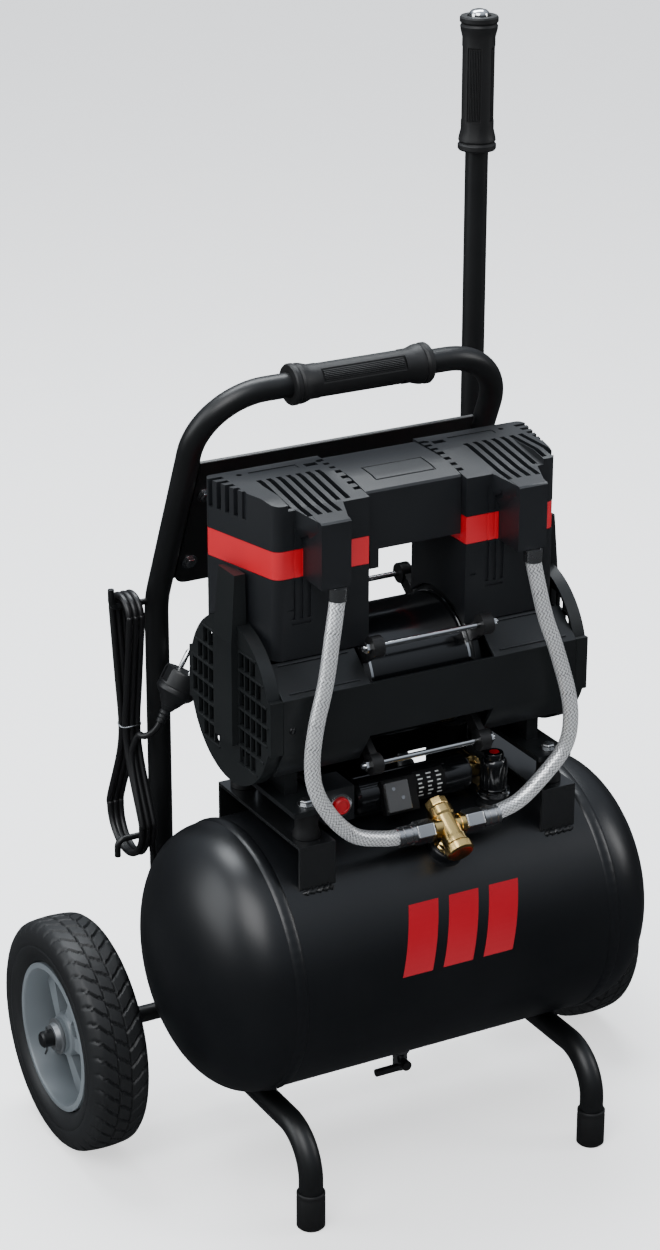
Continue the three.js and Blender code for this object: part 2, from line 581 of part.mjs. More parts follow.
// ---- controls on the tank ------------------------------------------------------
function makeRegulatorBody() {
  const { x, y, radius, bottom } = REGULATOR;
  const base = rod('z', radius + 2, 325, bottom - 6, x, y, 20);
  const ring = rod('z', radius + 1, bottom - 7, bottom - GAP, x, y, 20);
  const neck = box(x - 9, x + 9, y + 8, y + 30, 338, 366);
  const clearance = rod('z', radius + 1, bottom - GAP, 400, x, y, 20);
  return cut(join(base, ring, neck), clearance, clearOfTank());
}

function makeRegulatorKnob() {
  const { x, y, radius, bottom, top } = REGULATOR;
  const profile = [[0, bottom], [radius - 1, bottom], [radius, bottom + 3], [radius, top - 4], [radius - 3, top], [0, top]];
  return turned('z', profile, x, y, 20);
}

function makeOutletCoupler() {
  const { x, y } = REGULATOR;
  const start = y + 30 + GAP;
  const profile = [[0, start], [6, start], [6, start + 8], [10, start + 9], [10, start + 26], [7, start + 29],
    [7, start + 34], [0, start + 34]];
  return turned('y', profile, x, 357, 14);
}

function makeSwitchBox() {
  const { x, y, z, half } = SWITCH;
  const shell = box(x - half, x + half, y - 17, y + 17, z - 17, z + 16);
  const gland = rod('y', 6.5, y + 16, y + 33, x, z, 14);
  const seat = rod('y', 8.5, y - 30, y - 9, x, z, 18);
  return cut(join(shell, gland), seat, clearOfTank());
}

function makeStartButton() {
  const front = SWITCH.y - 23;
  return rod('y', 7.8, front, SWITCH.y - 12, SWITCH.x, SWITCH.z, 18);
}

function makeCapacitor() {
  const { y, z, radius, left, right } = CAPACITOR;
  const can = rod('x', radius, left, right, y, z, 28);
  const strap = box(-6, 6, y - 10, y + 10, 330, z - 8);
  return cut(join(can, strap), clearOfTank());
}

function makeDrainValve() {
  const top = TANK.z - TANK.radius - 5 - GAP;
  const profile = [[0, 58], [3.5, 58], [4.5, 62], [7, 63], [7, 76], [9, 78], [9, 86], [6, 87], [6, top], [0, top]];
  return turned('z', profile, DRAIN.x, DRAIN.y, 16);
}

function makeDrainLever() {
  const front = DRAIN.y - 14;
  const hub = rod('y', 5, front, DRAIN.y - 7 - GAP, DRAIN.x, DRAIN.lever, 14);
  const arm = rod('x', 2, DRAIN.x - 24, DRAIN.x, front + 3.5, DRAIN.lever, 10);
  const sleeve = rod('x', 3.8, DRAIN.x - 32, DRAIN.x - 8, front + 3.5, DRAIN.lever, 14);
  return join(hub, arm, sleeve);
}

// The safety valve stands on the tank's rear shoulder, with its pull ring on top.
const SAFETY = { x: 60, lean: -40 };

function makeSafetyValve() {
  const profile = [[0, 0], [6, 0], [6, 5], [9, 6], [9, 13], [6.5, 15], [6.5, 30], [0, 30]];
  const seat = TANK.radius + GAP + 0.4;
  const body = turned('z', profile.map(([r, t]) => [r, t + seat]), 0, 0, 12);
  return body.rotateX(THREE.MathUtils.degToRad(SAFETY.lean)).translate(SAFETY.x, 0, TANK.z);
}

function makeSafetyRing() {
  const height = TANK.radius + 31 + 8.5;
  const stem = rod('z', 1.5, TANK.radius + 31, TANK.radius + 33.5, 0, 0, 8);
  const ring = new THREE.TorusGeometry(7.5, 1.3, 6, 14).rotateX(Math.PI / 2).translate(0, 0, height);
  const both = join(stem, ring);
  return both.rotateX(THREE.MathUtils.degToRad(SAFETY.lean)).translate(SAFETY.x, 0, TANK.z);
}

node('regulator_body', makeRegulatorBody(), SATIN_BLACK);
node('regulator_knob', makeRegulatorKnob(), BLACK_PLASTIC);
node('outlet_coupler', makeOutletCoupler(), BRASS);
node('switch_box', makeSwitchBox(), BLACK_PLASTIC);
node('start_button', makeStartButton(), RED_PLASTIC);
node('capacitor', makeCapacitor(), BLACK_PLASTIC);
node('drain_valve', makeDrainValve(), BRASS);
node('drain_lever', makeDrainLever(), RUBBER);
node('safety_valve', makeSafetyValve(), BRASS);
node('safety_ring', makeSafetyRing(), STEEL);

// ---- mains cord -----------------------------------------------------------------
// The lead runs under the pump and down behind the tank to a hank hung on the frame's two hooks.
const CORD_LEAD = [[SWITCH.x, 8.3, SWITCH.z], [-80, 26, 367.4], [-80.5, 44, 364.4], [-81, 62, 357.6], [-82, 80, 346.5],
  [-84, 97, 330.5], [-87, 112, 310], [-92, 124, 288], [-100, 133, 270], [-112, 139, 258.5], [-126, 141.5, 253.5],
  [-140, 142, 252], [-154, 142.5, 253], [-166, 143.5, 257], [-173, 144.5, 261.5]];

function makeHank() {
  const { x, y, top, bottom, tie } = CORD;
  const wide = 38;
  const slim = 22;
  const waist = 13;
  const lowMiddle = bottom + wide;
  const topMiddle = top - slim;
  const outline = [...arc(y, lowMiddle, wide, 180, 360, 14), [y + waist, tie], ...arc(y, topMiddle, slim, 0, 180, 8),
    [y - waist, tie]];
  const lowHole = [...arc(y, lowMiddle, wide - 12, 180, 360, 10), [y + 1.5, tie - 18], [y - 1.5, tie - 18]];
  const topHole = [...arc(y, topMiddle, slim - 8, 0, 180, 8), [y - 1.5, tie + 18], [y + 1.5, tie + 18]];
  return slab('x', outline, x - 10, x + 8, [lowHole, topHole]);
}

// The plug is made along Z from its strain relief to its two pins.
const PLUG = { x: -166, y: 139, z: 395, lean: 30 };

function plugPlace(geometry) {
  return geometry.rotateY(THREE.MathUtils.degToRad(PLUG.lean)).translate(PLUG.x, PLUG.y, PLUG.z);
}

function makePlug() {
  const profile = [[0, 0], [4, 0], [5.5, 14], [10, 20], [17, 28], [18.5, 34], [18.5, 50], [16.5, 52], [0, 52]];
  const body = turned('z', profile, 0, 0, 20);
  const pins = [-9.5, 9.5].map((y) => rod('z', 2.4, 50, 71, 0, y, 10));
  return plugPlace(join(body, ...pins));
}

const CORD_TAIL = [[-166.2, 139, 394.7], [-168.5, 139.6, 390.6], [-171.5, 141.4, 386.2], [-174.6, 144.4, 382.6],
  [-177.2, 147.6, 380.4], [-179, 151, 379.6], [-180, 153.9, 379.6]];

node('cord_lead', tube(smooth(CORD_LEAD, 30), CORD.radius, 8), RUBBER);
node('cord_hank', makeHank(), RUBBER);
node('cord_tail', tube(smooth(CORD_TAIL, 7), CORD.radius, 8), RUBBER);
node('plug', makePlug(), RUBBER);

// ---- the origin under the middle of the outline -----------------------------------
const backEdge = AXLE.y + WHEEL.radius;
const frontEdge = FOOT.y - FOOT.cap;
onGround.position.y = -(backEdge + frontEdge) / 2;

export default compressor;
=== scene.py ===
"""Looks of the trolley air compressor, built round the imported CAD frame.

Shapes are written in millimetres from the tank's axis (y = 0) and the ground (z = 0), as in the CAD source.
The last step of every shape moves it by SHIFT and scales it to metres, which is the row frame.
"""

import json
import math

import bmesh
import bpy
from mathutils import Matrix, Vector

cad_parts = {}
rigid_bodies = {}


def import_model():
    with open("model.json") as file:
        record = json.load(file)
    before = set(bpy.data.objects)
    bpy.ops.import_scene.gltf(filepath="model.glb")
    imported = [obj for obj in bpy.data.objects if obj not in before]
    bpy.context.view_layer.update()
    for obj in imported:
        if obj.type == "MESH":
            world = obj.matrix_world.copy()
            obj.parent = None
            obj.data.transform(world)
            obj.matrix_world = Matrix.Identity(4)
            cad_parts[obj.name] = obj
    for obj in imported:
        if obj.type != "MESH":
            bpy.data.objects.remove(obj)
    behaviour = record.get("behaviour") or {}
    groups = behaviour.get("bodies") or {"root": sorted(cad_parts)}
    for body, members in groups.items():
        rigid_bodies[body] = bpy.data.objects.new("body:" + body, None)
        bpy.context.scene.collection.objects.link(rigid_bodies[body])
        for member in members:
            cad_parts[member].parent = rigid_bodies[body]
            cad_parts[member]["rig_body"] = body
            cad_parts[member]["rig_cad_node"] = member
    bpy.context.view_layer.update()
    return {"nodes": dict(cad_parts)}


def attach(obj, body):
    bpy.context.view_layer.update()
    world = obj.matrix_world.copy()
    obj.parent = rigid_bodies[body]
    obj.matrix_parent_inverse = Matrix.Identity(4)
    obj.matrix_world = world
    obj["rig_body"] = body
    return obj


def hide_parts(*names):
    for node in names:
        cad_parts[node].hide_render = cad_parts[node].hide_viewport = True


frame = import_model()

# ---- driving dimensions, in millimetres ------------------------------------
SHIFT = Vector((0, -54.5, 0))
MM = 0.001
ROOT = "machine"
SIDES = (("left", -1), ("right", 1))
TANK = {"radius": 122.5, "z": 222, "seam": 163, "dome": 68, "power": 2.3}
PUMP = (-2, 10, 465)
HEAD = {"x": 96.5, "inner": 48, "outer_front": 140, "outer_back": 159, "front": -48, "back": 45, "top": 191}
NOSE = {"half": 14.2, "flare": 23.3, "front": -83, "bottom": 121, "top": 183, "shift": 2.5}
BAND = (122, 147)
GUARD = {"end": 159, "rim": 12, "radius": 76, "tab_y": 77, "tab_z": 24.5, "wall": 3}
ROD_Y, ROD_Z = 71, 55
MOTOR_FLANGE = 65
WHEEL = {"y": 126, "z": 109.5, "radius": 109.5, "middle": 264.5}
HUB = (WHEEL["y"], WHEEL["z"])
FRAME = {"x": 152, "y": 171.7, "radius": 11, "bottom": 95, "bend": 500.8, "top_y": 74.3, "top_z": 717.6}
LEAN = math.atan2(FRAME["y"] - FRAME["top_y"], FRAME["top_z"] - FRAME["bend"])
FRAME_TOP = (FRAME["top_y"], FRAME["top_z"])
MAST_AT = (176.5, 170)
FOOT = {"x": 147.7, "y": -113.5, "z": 88.2}
VALVE = (8, -78, 342.8)
VALVE_LEAN = math.radians(33)
SWITCH = (-80, -25, 368)


# ---- shapes: (points, faces) in millimetres ---------------------------------
def merged(*shapes):
    """Several closed shapes as one."""
    points, faces = [], []
    for some_points, some_faces in shapes:
        start = len(points)
        points += some_points
        faces += [[start + i for i in face] for face in some_faces]
    return points, faces


def moved(shape, matrix):
    return [tuple(matrix @ Vector(p)) for p in shape[0]], shape[1]


def shifted(shape, x=0, y=0, z=0):
    return [(p[0] + x, p[1] + y, p[2] + z) for p in shape[0]], shape[1]


def at_pump(shape):
    return shifted(shape, *PUMP)


def flipped(shape, side):
    """The shape for side 1, or its mirror image in X for side -1."""
    if side > 0:
        return shape
    return [(-p[0], p[1], p[2]) for p in shape[0]], [face[::-1] for face in shape[1]]


def on_axis(axis, u, v, along):
    """The point at (u, v) across the axis, in X, Y, Z order, and along it."""
    return {"x": (along, u, v), "y": (u, along, v), "z": (u, v, along)}[axis]


def prism(axis, outline, low, high):
    count = len(outline)
    points = [on_axis(axis, u, v, low) for u, v in outline] + [on_axis(axis, u, v, high) for u,
                                                               v in outline]
    faces = [list(range(count))[::-1], list(range(count, 2 * count))]
    faces += [[i, (i + 1) % count, count + (i + 1) % count, count + i] for i in range(count)]
    return points, faces


def box(x0, x1, y0, y1, z0, z1):
    return prism("z", [(x0, y0), (x1, y0), (x1, y1), (x0, y1)], z0, z1)


def arc(u, v, radius, start, end, steps):
    turns = [math.radians(start + (end - start) * i / steps) for i in range(steps + 1)]
    return [(u + radius * math.cos(t), v + radius * math.sin(t)) for t in turns]


def rod(axis, radius, low, high, u=0, v=0, sides=48, turn=0):
    return prism(axis, arc(u, v, radius, turn, 360 + turn, sides)[:-1], low, high)


def turned(axis, profile, u=0, v=0, sides=64):
    """A closed profile of (radius, along) pairs turned round the axis."""
    count = len(profile)
    points, faces = [], []
    for i in range(sides):
        a = 2 * math.pi * i / sides
        points += [on_axis(axis, u + r * math.cos(a), v + r * math.sin(a), t) for r, t in profile]
    for i in range(sides):
        j = (i + 1) % sides
        for k in range(count):
            m = (k + 1) % count
            faces.append([i * count + k, i * count + m, j * count + m, j * count + k])
    return points, faces


def grid(height, across, around, point):
    """A closed ring surface: point(k, i, height(k, i)) for each step across and around."""
    points = [point(k, i, height(k, i)) for i in range(around) for k in range(across)]
    faces = []
    for i in range(around):
        j = (i + 1) % around
        for k in range(across):
            m = (k + 1) % across
            faces.append([i * across + k, i * across + m, j * across + m, j * across + k])
    return points, faces


def hull(points):
    """The convex hull of some points."""
    mesh = bmesh.new()
    for p in points:
        mesh.verts.new(p)
    result = bmesh.ops.convex_hull(mesh, input=mesh.verts)
    unused = [e for e in result["geom_unused"] + result["geom_interior"] if isinstance(e,
                                                                                       bmesh.types.BMVert)]
    bmesh.ops.delete(mesh, geom=list(set(unused)), context="VERTS")
    mesh.verts.index_update()
    made = [tuple(v.co) for v in mesh.verts], [[v.index for v in f.verts] for f in mesh.faces]
    mesh.free()
    return made


def curve_through(points, steps):
    """Catmull-Rom points through a given list."""
    path = []
    line = [Vector(p) for p in points]
    for i in range(len(line) - 1):
        before = line[i - 1] if i else 2 * line[0] - line[1]
        after = line[i + 2] if i + 2 < len(line) else 2 * line[-1] - line[-2]
        for j in range(steps):
            t = j / steps
            a, b = line[i], line[i + 1]
            path.append(0.5 * (2 * a + (b - before) * t + (2 * before - 5 * a + 4 * b - after) * t * t
                               + (3 * a - before - 3 * b + after) * t**3))
    return [*path, line[-1]]


def bent(corners, radius, step=6):
    """Straight runs joined by arcs of one bend radius."""
    line = [Vector(c) for c in corners]
    path = [line[0]]
    for before, corner, after in zip(line, line[1:], line[2:]):
        back, ahead = (before - corner).normalized(), (after - corner).normalized()
        turn = math.pi - back.angle(ahead)
        start = corner + back * radius * math.tan(turn / 2)
        side = (ahead - back * ahead.dot(back)).normalized()
        steps = max(2, math.ceil(math.degrees(turn) / step))
        for j in range(steps + 1):
            a = turn * j / steps
            path.append(start - back * radius * math.sin(a) + side * radius * (1 - math.cos(a)))
    return [*path, line[-1]]


def rings(path):
    """At each point of a path, the point and two directions across it that don't twist."""
    path = [Vector(p) for p in path]
    made = []
    across = None
    for i, p in enumerate(path):
        ahead = (path[min(i + 1, len(path) - 1)] - path[max(i - 1, 0)]).normalized()
        if across is None:
            across = ahead.cross(Vector((0, 0, 1)) if abs(ahead.z) < 0.9 else Vector((0, 1, 0)))
        across = (across - ahead * across.dot(ahead)).normalized()
        made.append((p, across, ahead.cross(across)))
    return made


def tube(path, radius, sides=24):
    """A solid round tube along a path. radius is a number, or a function of the step and the side."""
    size = radius if callable(radius) else lambda step, i: radius
    points, faces = [], []
    frames = rings(path)
    for step, (p, u, v) in enumerate(frames):
        for i in range(sides):
            a = 2 * math.pi * i / sides
            points.append(tuple(p + (u * math.cos(a) + v * math.sin(a)) * size(step, i)))
    for step in range(len(frames) - 1):
        for i in range(sides):
            j = (i + 1) % sides
            low, high = step * sides, (step + 1) * sides
            faces.append([low + i, low + j, high + j, high + i])
    faces += [list(range(sides))[::-1], list(range(len(points) - sides, len(points)))]
    return points, faces


def bolt(axis, size, low, high, u, v):
    """A hexagon head on a round washer; low is the side that it sits on."""
    step = 1 if high > low else -1
    profile = [(0, high), (size * 0.8, high), (size, high - step), (size, low + step), (0, low + step)]
    washer = [(0, low + step), (size * 1.35, low + step), (size * 1.35, low), (0, low)]
    return merged(turned(axis, profile, u, v, 6), turned(axis, washer, u, v, 24))


def screw_head(axis, radius, low, high, u, v):
    """A domed screw head."""
    shoulder = low + (high - low) * 0.7
    return turned(axis, [(0, low), (radius, low), (radius * 0.8, shoulder), (0, high)], u, v, 24)


# ---- meshes and pieces ------------------------------------------------------
def to_object(shape, name="shape"):
    """A mesh object of a shape, in the row frame."""
    mesh = bpy.data.meshes.new(name)
    mesh.from_pydata(shape[0], [], shape[1])
    mesh.transform(Matrix.Scale(MM, 4) @ Matrix.Translation(SHIFT))
    work = bmesh.new()
    work.from_mesh(mesh)
    bmesh.ops.remove_doubles(work, verts=work.verts, dist=1e-6)
    bmesh.ops.dissolve_degenerate(work, edges=work.edges, dist=1e-7)
    bmesh.ops.recalc_face_normals(work, faces=work.faces)
    work.to_mesh(mesh)
    work.free()
    made = bpy.data.objects.new(name, mesh)
    bpy.context.scene.collection.objects.link(made)
    return made


def welded(node):
    """A copy of a CAD node's mesh with its split corners joined and its flat faces whole."""
    made = frame["nodes"][node].copy()
    made.data = frame["nodes"][node].data.copy()
    made.data.materials.clear()
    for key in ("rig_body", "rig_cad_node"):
        if key in made:
            del made[key]
    made.parent = None
    bpy.context.scene.collection.objects.link(made)
    work = bmesh.new()
    work.from_mesh(made.data)
    bmesh.ops.remove_doubles(work, verts=work.verts, dist=2e-6)
    bmesh.ops.dissolve_limit(work, angle_limit=math.radians(1.5), verts=work.verts, edges=work.edges)
    work.to_mesh(made.data)
    work.free()
    return made


def applied(obj):
    """Applies obj's modifiers to its own mesh."""
    graph = bpy.context.evaluated_depsgraph_get()
    mesh = bpy.data.meshes.new_from_object(obj.evaluated_get(graph))
    obj.modifiers.clear()
    obj.data = mesh
    return obj


def combined(obj, shape, operation="DIFFERENCE"):
    """Cuts a shape, or another mesh object that this uses up, from obj, or joins it on."""
    tool = shape if isinstance(shape, bpy.types.Object) else to_object(shape)
    change = obj.modifiers.new("change", "BOOLEAN")
    change.operation = operation
    change.solver = "MANIFOLD"
    change.object = tool
    applied(obj)
    bpy.data.objects.remove(tool)
    return obj


def piece(name, made, look, replaces=(), body=ROOT, bevel=0.0, segments=2, smooth=32, cuts=()):
    """Finishes a piece: cuts and softened edges in millimetres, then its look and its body."""
    obj = made if isinstance(made, bpy.types.Object) else to_object(made)
    for shape in cuts:
        combined(obj, shape)
    if bevel:
        edge = obj.modifiers.new("edge", "BEVEL")
        edge.width = bevel * MM
        edge.segments = segments
        edge.limit_method = "ANGLE"
        edge.angle_limit = math.radians(38)
        applied(obj)
    obj.name = name
    obj.data.name = name
    obj.data.shade_smooth()
    obj.data.set_sharp_from_angle(angle=math.radians(smooth))
    if bevel:
        level = obj.modifiers.new("level", "WEIGHTED_NORMAL")
        level.keep_sharp = True
        applied(obj)
    obj.data.materials.clear()
    obj.data.materials.append(look)
    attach(obj, body)
    if replaces:
        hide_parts(*replaces)
    return obj


# ---- materials ----------------------------------------------------------------
CLOUD_SCALE = 9
GRAIN_DEPTH = 0.0002


def mixed(tree, factor, first, second):
    """The colour between first and second, each a plain colour or a socket, by the factor's socket."""
    mix = tree.nodes.new("ShaderNodeMix")
    mix.data_type = "RGBA"
    tree.links.new(factor, mix.inputs[0])
    for socket, value in ((mix.inputs[6], first), (mix.inputs[7], second)):
        if isinstance(value, tuple):
            socket.default_value = (*value, 1)
        else:
            tree.links.new(value, socket)
    return mix.outputs[2]


def surface(name, color, rough, metal=0.0, spread=0.06, tint=0.12, grain=900, bump=0.06,
            coat=0.0, worn=0.0, specular=0.5, strand_shade=False):
    """A procedural finish: cloudy colour and roughness, a fine grain, a lighter worn edge if asked, and
    painted shade that darkens a braid's strands towards their gaps if asked.
    """
    look = bpy.data.materials.new(name)
    look.use_nodes = True
    nodes, links = look.node_tree.nodes, look.node_tree.links
    shader = nodes["Principled BSDF"]
    shader.inputs["Metallic"].default_value = metal
    shader.inputs["Coat Weight"].default_value = coat
    shader.inputs["Coat Roughness"].default_value = 0.12
    shader.inputs["Specular IOR Level"].default_value = specular
    place = nodes.new("ShaderNodeTexCoord")
    clouds = nodes.new("ShaderNodeTexNoise")
    clouds.inputs["Scale"].default_value = CLOUD_SCALE
    clouds.inputs["Detail"].default_value = 6
    links.new(place.outputs["Object"], clouds.inputs["Vector"])
    colours = nodes.new("ShaderNodeValToRGB")
    dark = [c * (1 - tint) for c in color]
    light = [min(1, c * (1 + tint) + 0.0006) for c in color]
    colours.color_ramp.elements[0].position = 0.3
    colours.color_ramp.elements[0].color = (*dark, 1)
    colours.color_ramp.elements[1].position = 0.7
    colours.color_ramp.elements[1].color = (*light, 1)
    links.new(clouds.outputs["Fac"], colours.inputs["Fac"])
    last = colours.outputs["Color"]
    if worn:
        shape = nodes.new("ShaderNodeNewGeometry")
        edge = nodes.new("ShaderNodeMapRange")
        edge.inputs["From Min"].default_value = 0.52
        edge.inputs["From Max"].default_value = 0.62
        edge.inputs["To Max"].default_value = worn
        links.new(shape.outputs["Pointiness"], edge.inputs["Value"])
        lighter = tuple(min(1, c * 2.2 + 0.06) for c in color)
        last = mixed(look.node_tree, edge.outputs["Result"], last, lighter)
    # Painted shade: each braid strand darkens towards its gaps, by the weave height kept on the mesh.
    if strand_shade:
        height = nodes.new("ShaderNodeAttribute")
        height.attribute_name = "weave"
        last = mixed(look.node_tree, height.outputs["Fac"], tuple(c * 0.01 for c in color), last)
    links.new(last, shader.inputs["Base Color"])
    roughness = nodes.new("ShaderNodeMapRange")
    roughness.inputs["To Min"].default_value = max(0.02, rough - spread)
    roughness.inputs["To Max"].default_value = rough + spread
    links.new(clouds.outputs["Fac"], roughness.inputs["Value"])
    links.new(roughness.outputs["Result"], shader.inputs["Roughness"])
    fine = nodes.new("ShaderNodeTexNoise")
    fine.inputs["Scale"].default_value = grain
    fine.inputs["Detail"].default_value = 3
    links.new(place.outputs["Object"], fine.inputs["Vector"])
    raised = nodes.new("ShaderNodeBump")
    raised.inputs["Strength"].default_value = bump
    raised.inputs["Distance"].default_value = GRAIN_DEPTH
    links.new(fine.outputs["Fac"], raised.inputs["Height"])
    links.new(raised.outputs["Normal"], shader.inputs["Normal"])
    return look


TANK_PAINT = surface("tank_paint", (0.0022, 0.0026, 0.0034), 0.35, grain=260, bump=0.10,
                     spread=0.05, specular=0.42)
FRAME_PAINT = surface("frame_paint", (0.0035, 0.0038, 0.0042), 0.40, grain=500, bump=0.16,
                      specular=0.4)
MOTOR_PAINT = surface("motor_paint", (0.0022, 0.0025, 0.003), 0.17, coat=0.4, grain=300,
                      bump=0.04)
COVER = surface("cover_plastic", (0.0050, 0.0058, 0.0072), 0.42, grain=1400, bump=0.35,
                specular=0.5)
COWL = surface("cowl_plastic", (0.0042, 0.0050, 0.0056), 0.38, grain=1200, bump=0.25,
               specular=0.42)
GRILLE = surface("grille_plastic", (0.0042, 0.0052, 0.0056), 0.42, grain=1200, bump=0.3,
                 specular=0.42)
# Near-black matte plastic: painted shade on the inner walls of the head covers and on the fans inside the
# guards, and the own colour of the breaker base, rail and capacitor label.
DARK_PLASTIC_AND_SHADE = surface("dark_plastic_and_shade", (0.0015, 0.0015, 0.0018), 0.6, grain=800, bump=0.2,
                specular=0.2)
RUBBER = surface("black_rubber", (0.0045, 0.0046, 0.005), 0.52, grain=1000, bump=0.3,
                 specular=0.35)
TYRE = surface("tyre_rubber", (0.0055, 0.006, 0.0066), 0.52, grain=700, bump=0.5,
               worn=0.12, tint=0.25, specular=0.4)
RED = surface("red_plastic", (0.36, 0.0012, 0.0075), 0.36, grain=900, bump=0.12,
              specular=0.3)
DECAL = surface("decal_red", (0.27, 0.0008, 0.0075), 0.34, grain=500, bump=0.03, tint=0.05,
                specular=0.25)
RIM = surface("rim_grey", (0.105, 0.12, 0.13), 0.42, grain=900, bump=0.25, metal=0.2)
BRASS = surface("brass", (0.70, 0.50, 0.20), 0.22, metal=1, grain=600, bump=0.12, tint=0.15)
STEEL = surface("zinc_steel", (0.50, 0.51, 0.52), 0.26, metal=1, grain=800, bump=0.15, tint=0.15)
CHROME = surface("chrome", (0.66, 0.67, 0.68), 0.12, metal=1, grain=400, bump=0.03, spread=0.03,
                 tint=0.05)
ALLOY = surface("cast_alloy", (0.20, 0.21, 0.22), 0.5, metal=0.9, grain=500, bump=0.5, tint=0.2)
CORD = surface("cord_sleeve", (0.004, 0.004, 0.0045), 0.40, grain=1200, bump=0.2,
               specular=0.4)
PLUG = surface("plug_rubber", (0.0055, 0.006, 0.0068), 0.46, grain=1000, bump=0.3,
               specular=0.4)
LABEL = surface("label_film", (0.52, 0.53, 0.52), 0.45, grain=300, bump=0.05, tint=0.06)
PLATE_GREY = surface("saddle_paint", (0.006, 0.0064, 0.0068), 0.24, coat=0.3, grain=400,
                     bump=0.1)
# The braid takes painted shade between its strands.
BRAID = surface("braid", (0.9, 0.91, 0.92), 0.3, metal=0.65, grain=1600, bump=0.3, tint=0.08,
                strand_shade=True)
CLEAR = surface("clear_cover", (0.05, 0.05, 0.05), 0.08, coat=1.0, grain=300, bump=0.02)


# ---- tank, saddles and feet ---------------------------------------------------
def tank_profile():
    half = []
    for i in range(25):
        t = math.sin(math.pi / 2 * i / 24)
        r = TANK["radius"] * max(0.0, 1 - t ** TANK["power"]) ** (1 / TANK["power"])
        half.append((r, TANK["seam"] + TANK["dome"] * t))
    half[-1] = (0, TANK["seam"] + TANK["dome"])
    low = [(r, -t) for r, t in half][::-1]
    straight = [(TANK["radius"], x) for x in range(-150, 151, 30)]
    return low + straight + half


def weld_bead(x, width=13, height=1.5, ripples=80):
    """A ring of weld round the tank at x, with the ripples of its passes."""
    across, around = 8, 600

    def lift(k, i):
        edge = TANK["radius"] - 0.6
        if k == across - 1:
            return edge
        fine = 0.05 * math.sin(2 * math.pi * ripples * i / around)
        wave = fine + 0.12 * math.sin(2 * math.pi * 7 * i / around)
        return edge + (height + 0.6 + wave) * math.sin(math.pi * k / (across - 1)) ** 0.5

    def point(k, i, r):
        a = 2 * math.pi * i / around
        return (x - width / 2 + width * k / (across - 1), r * math.cos(a), TANK["z"] + r * math.sin(a))

    return grid(lift, across, around, point)


def on_shoulder(shape):
    """A fitting made upright at the origin, leaned forward at the valve's place."""
    return moved(shape, Matrix.Translation(VALVE) @ Matrix.Rotation(VALVE_LEAN, 4, "X"))


tank = merged(turned("x", tank_profile(), 0, TANK["z"], 144), weld_bead(-TANK["seam"] + 3),
              weld_bead(TANK["seam"] - 3))
piece("tank", tank, TANK_PAINT, ["tank_shell"], smooth=40)
boss = turned("z", [(0, -30), (17.5, -30), (17.5, -24), (15.5, -22), (15.5, -15), (14, -13.4),
                    (0, -13.4)], 0, -10)
drain_boss = turned("z", [(0, 104), (11, 104), (11, 98), (9, 94.5), (0, 94.5)], 8, 0, 32)
piece("tank_bosses", merged(on_shoulder(boss), drain_boss), TANK_PAINT, bevel=0.6)
collar = [(10, -13), (13.4, -13), (13.4, -11.4), (10, -11.4)]
piece("port_ring", on_shoulder(turned("z", collar, 0, -10, 64)), CHROME)


def logo_bars(first=-50, pitch=39, width=30):
    """Three slanted bars on the front of the tank, standing for a printed mark."""
    shapes = []
    for i in range(3):
        start = first + pitch * i
        points, faces = [], []
        for row in range(13):
            tilt = math.radians(4 + 29 * row / 12)
            slope = 8 - 16 * row / 12 + 3
            for column in range(2):
                radius = TANK["radius"] + 0.12
                x = start + (width if column else 0) - slope + i * 2
                points.append((x, -radius * math.cos(tilt), TANK["z"] + radius * math.sin(tilt)))
        for row in range(12):
            faces.append([2 * row, 2 * row + 1, 2 * row + 3, 2 * row + 2])
        shapes.append((points, faces))
    return merged(*shapes)


marks = piece("tank_mark", logo_bars(), DECAL)
film = marks.modifiers.new("film", "SOLIDIFY")
film.thickness = 0.00015
film.offset = 0
applied(marks)
marks.data.shade_flat()


def foot_weld(side):
    """The bead of weld along the front edge of a saddle."""
    path = [(side * (108 + 2 * i), -81.4 - 0.5 * math.sin(i * 1.9),
             312.6 + 0.8 * math.sin(i * 2.3)) for i in range(16)]
    return tube(path, lambda step, i: 2.6 + 0.5 * math.sin(step * 2.1) if 0 < step < 15 else 1.2, 12)


for name, side in SIDES:
    piece(f"{name}_saddle_bracket", welded(f"{name}_saddle"), PLATE_GREY, [f"{name}_saddle"], bevel=1.2,
          segments=3)
    piece(f"{name}_saddle_weld", foot_weld(side), FRAME_PAINT)
    x, y, z = side * FOOT["x"], FOOT["y"], FOOT["z"]
    foot = bent([(x, 24, z), (x, y, z), (x, y, 4.3)], 42, 4)
    piece(f"{name}_foot", tube(foot, 11, 40), FRAME_PAINT, [f"{name}_foot_tube"])
    cap = [(0, 0), (11.5, 0), (13, 1.5), (13, 30), (12.4, 31.5), (13, 33), (13, 35), (12.2, 36),
           (11.3, 36), (11.3, 4), (0, 4)]
    piece(f"{name}_foot_shoe", turned("z", cap, x, y, 48), RUBBER, [f"{name}_foot_cap"], smooth=50)
    for end, y in (("front", -60), ("rear", 58)):
        bush = [(0, 356.3), (12, 356.3), (12, 360), (10.4, 364), (10.4, 373), (12, 377), (12, 381),
                (0, 381)]
        node = f"{end}_{name}_mount"
        piece(f"{node}_bush", turned("z", bush, side * 123, y, 40), RUBBER, [node], smooth=50)
        piece(f"{node}_bolt", bolt("z", 6, 386, 391, side * 123, y), STEEL, bevel=0.3)


# ---- wheels -----------------------------------------------------------------
TYRE_LOOP = [(71, 21), (75, 24.5), (79, 27.2), (84, 27.8), (86, 28), (87, 27.5), (88.5, 28), (92, 28),
             (97, 27.4), (101, 26.2), (104, 24.6), (106, 22.6), (107.2, 21), (108, 18.6)]
TREAD_STEPS = 28
TREAD_BLOCKS = 42
TREAD_PER_BLOCK = 12


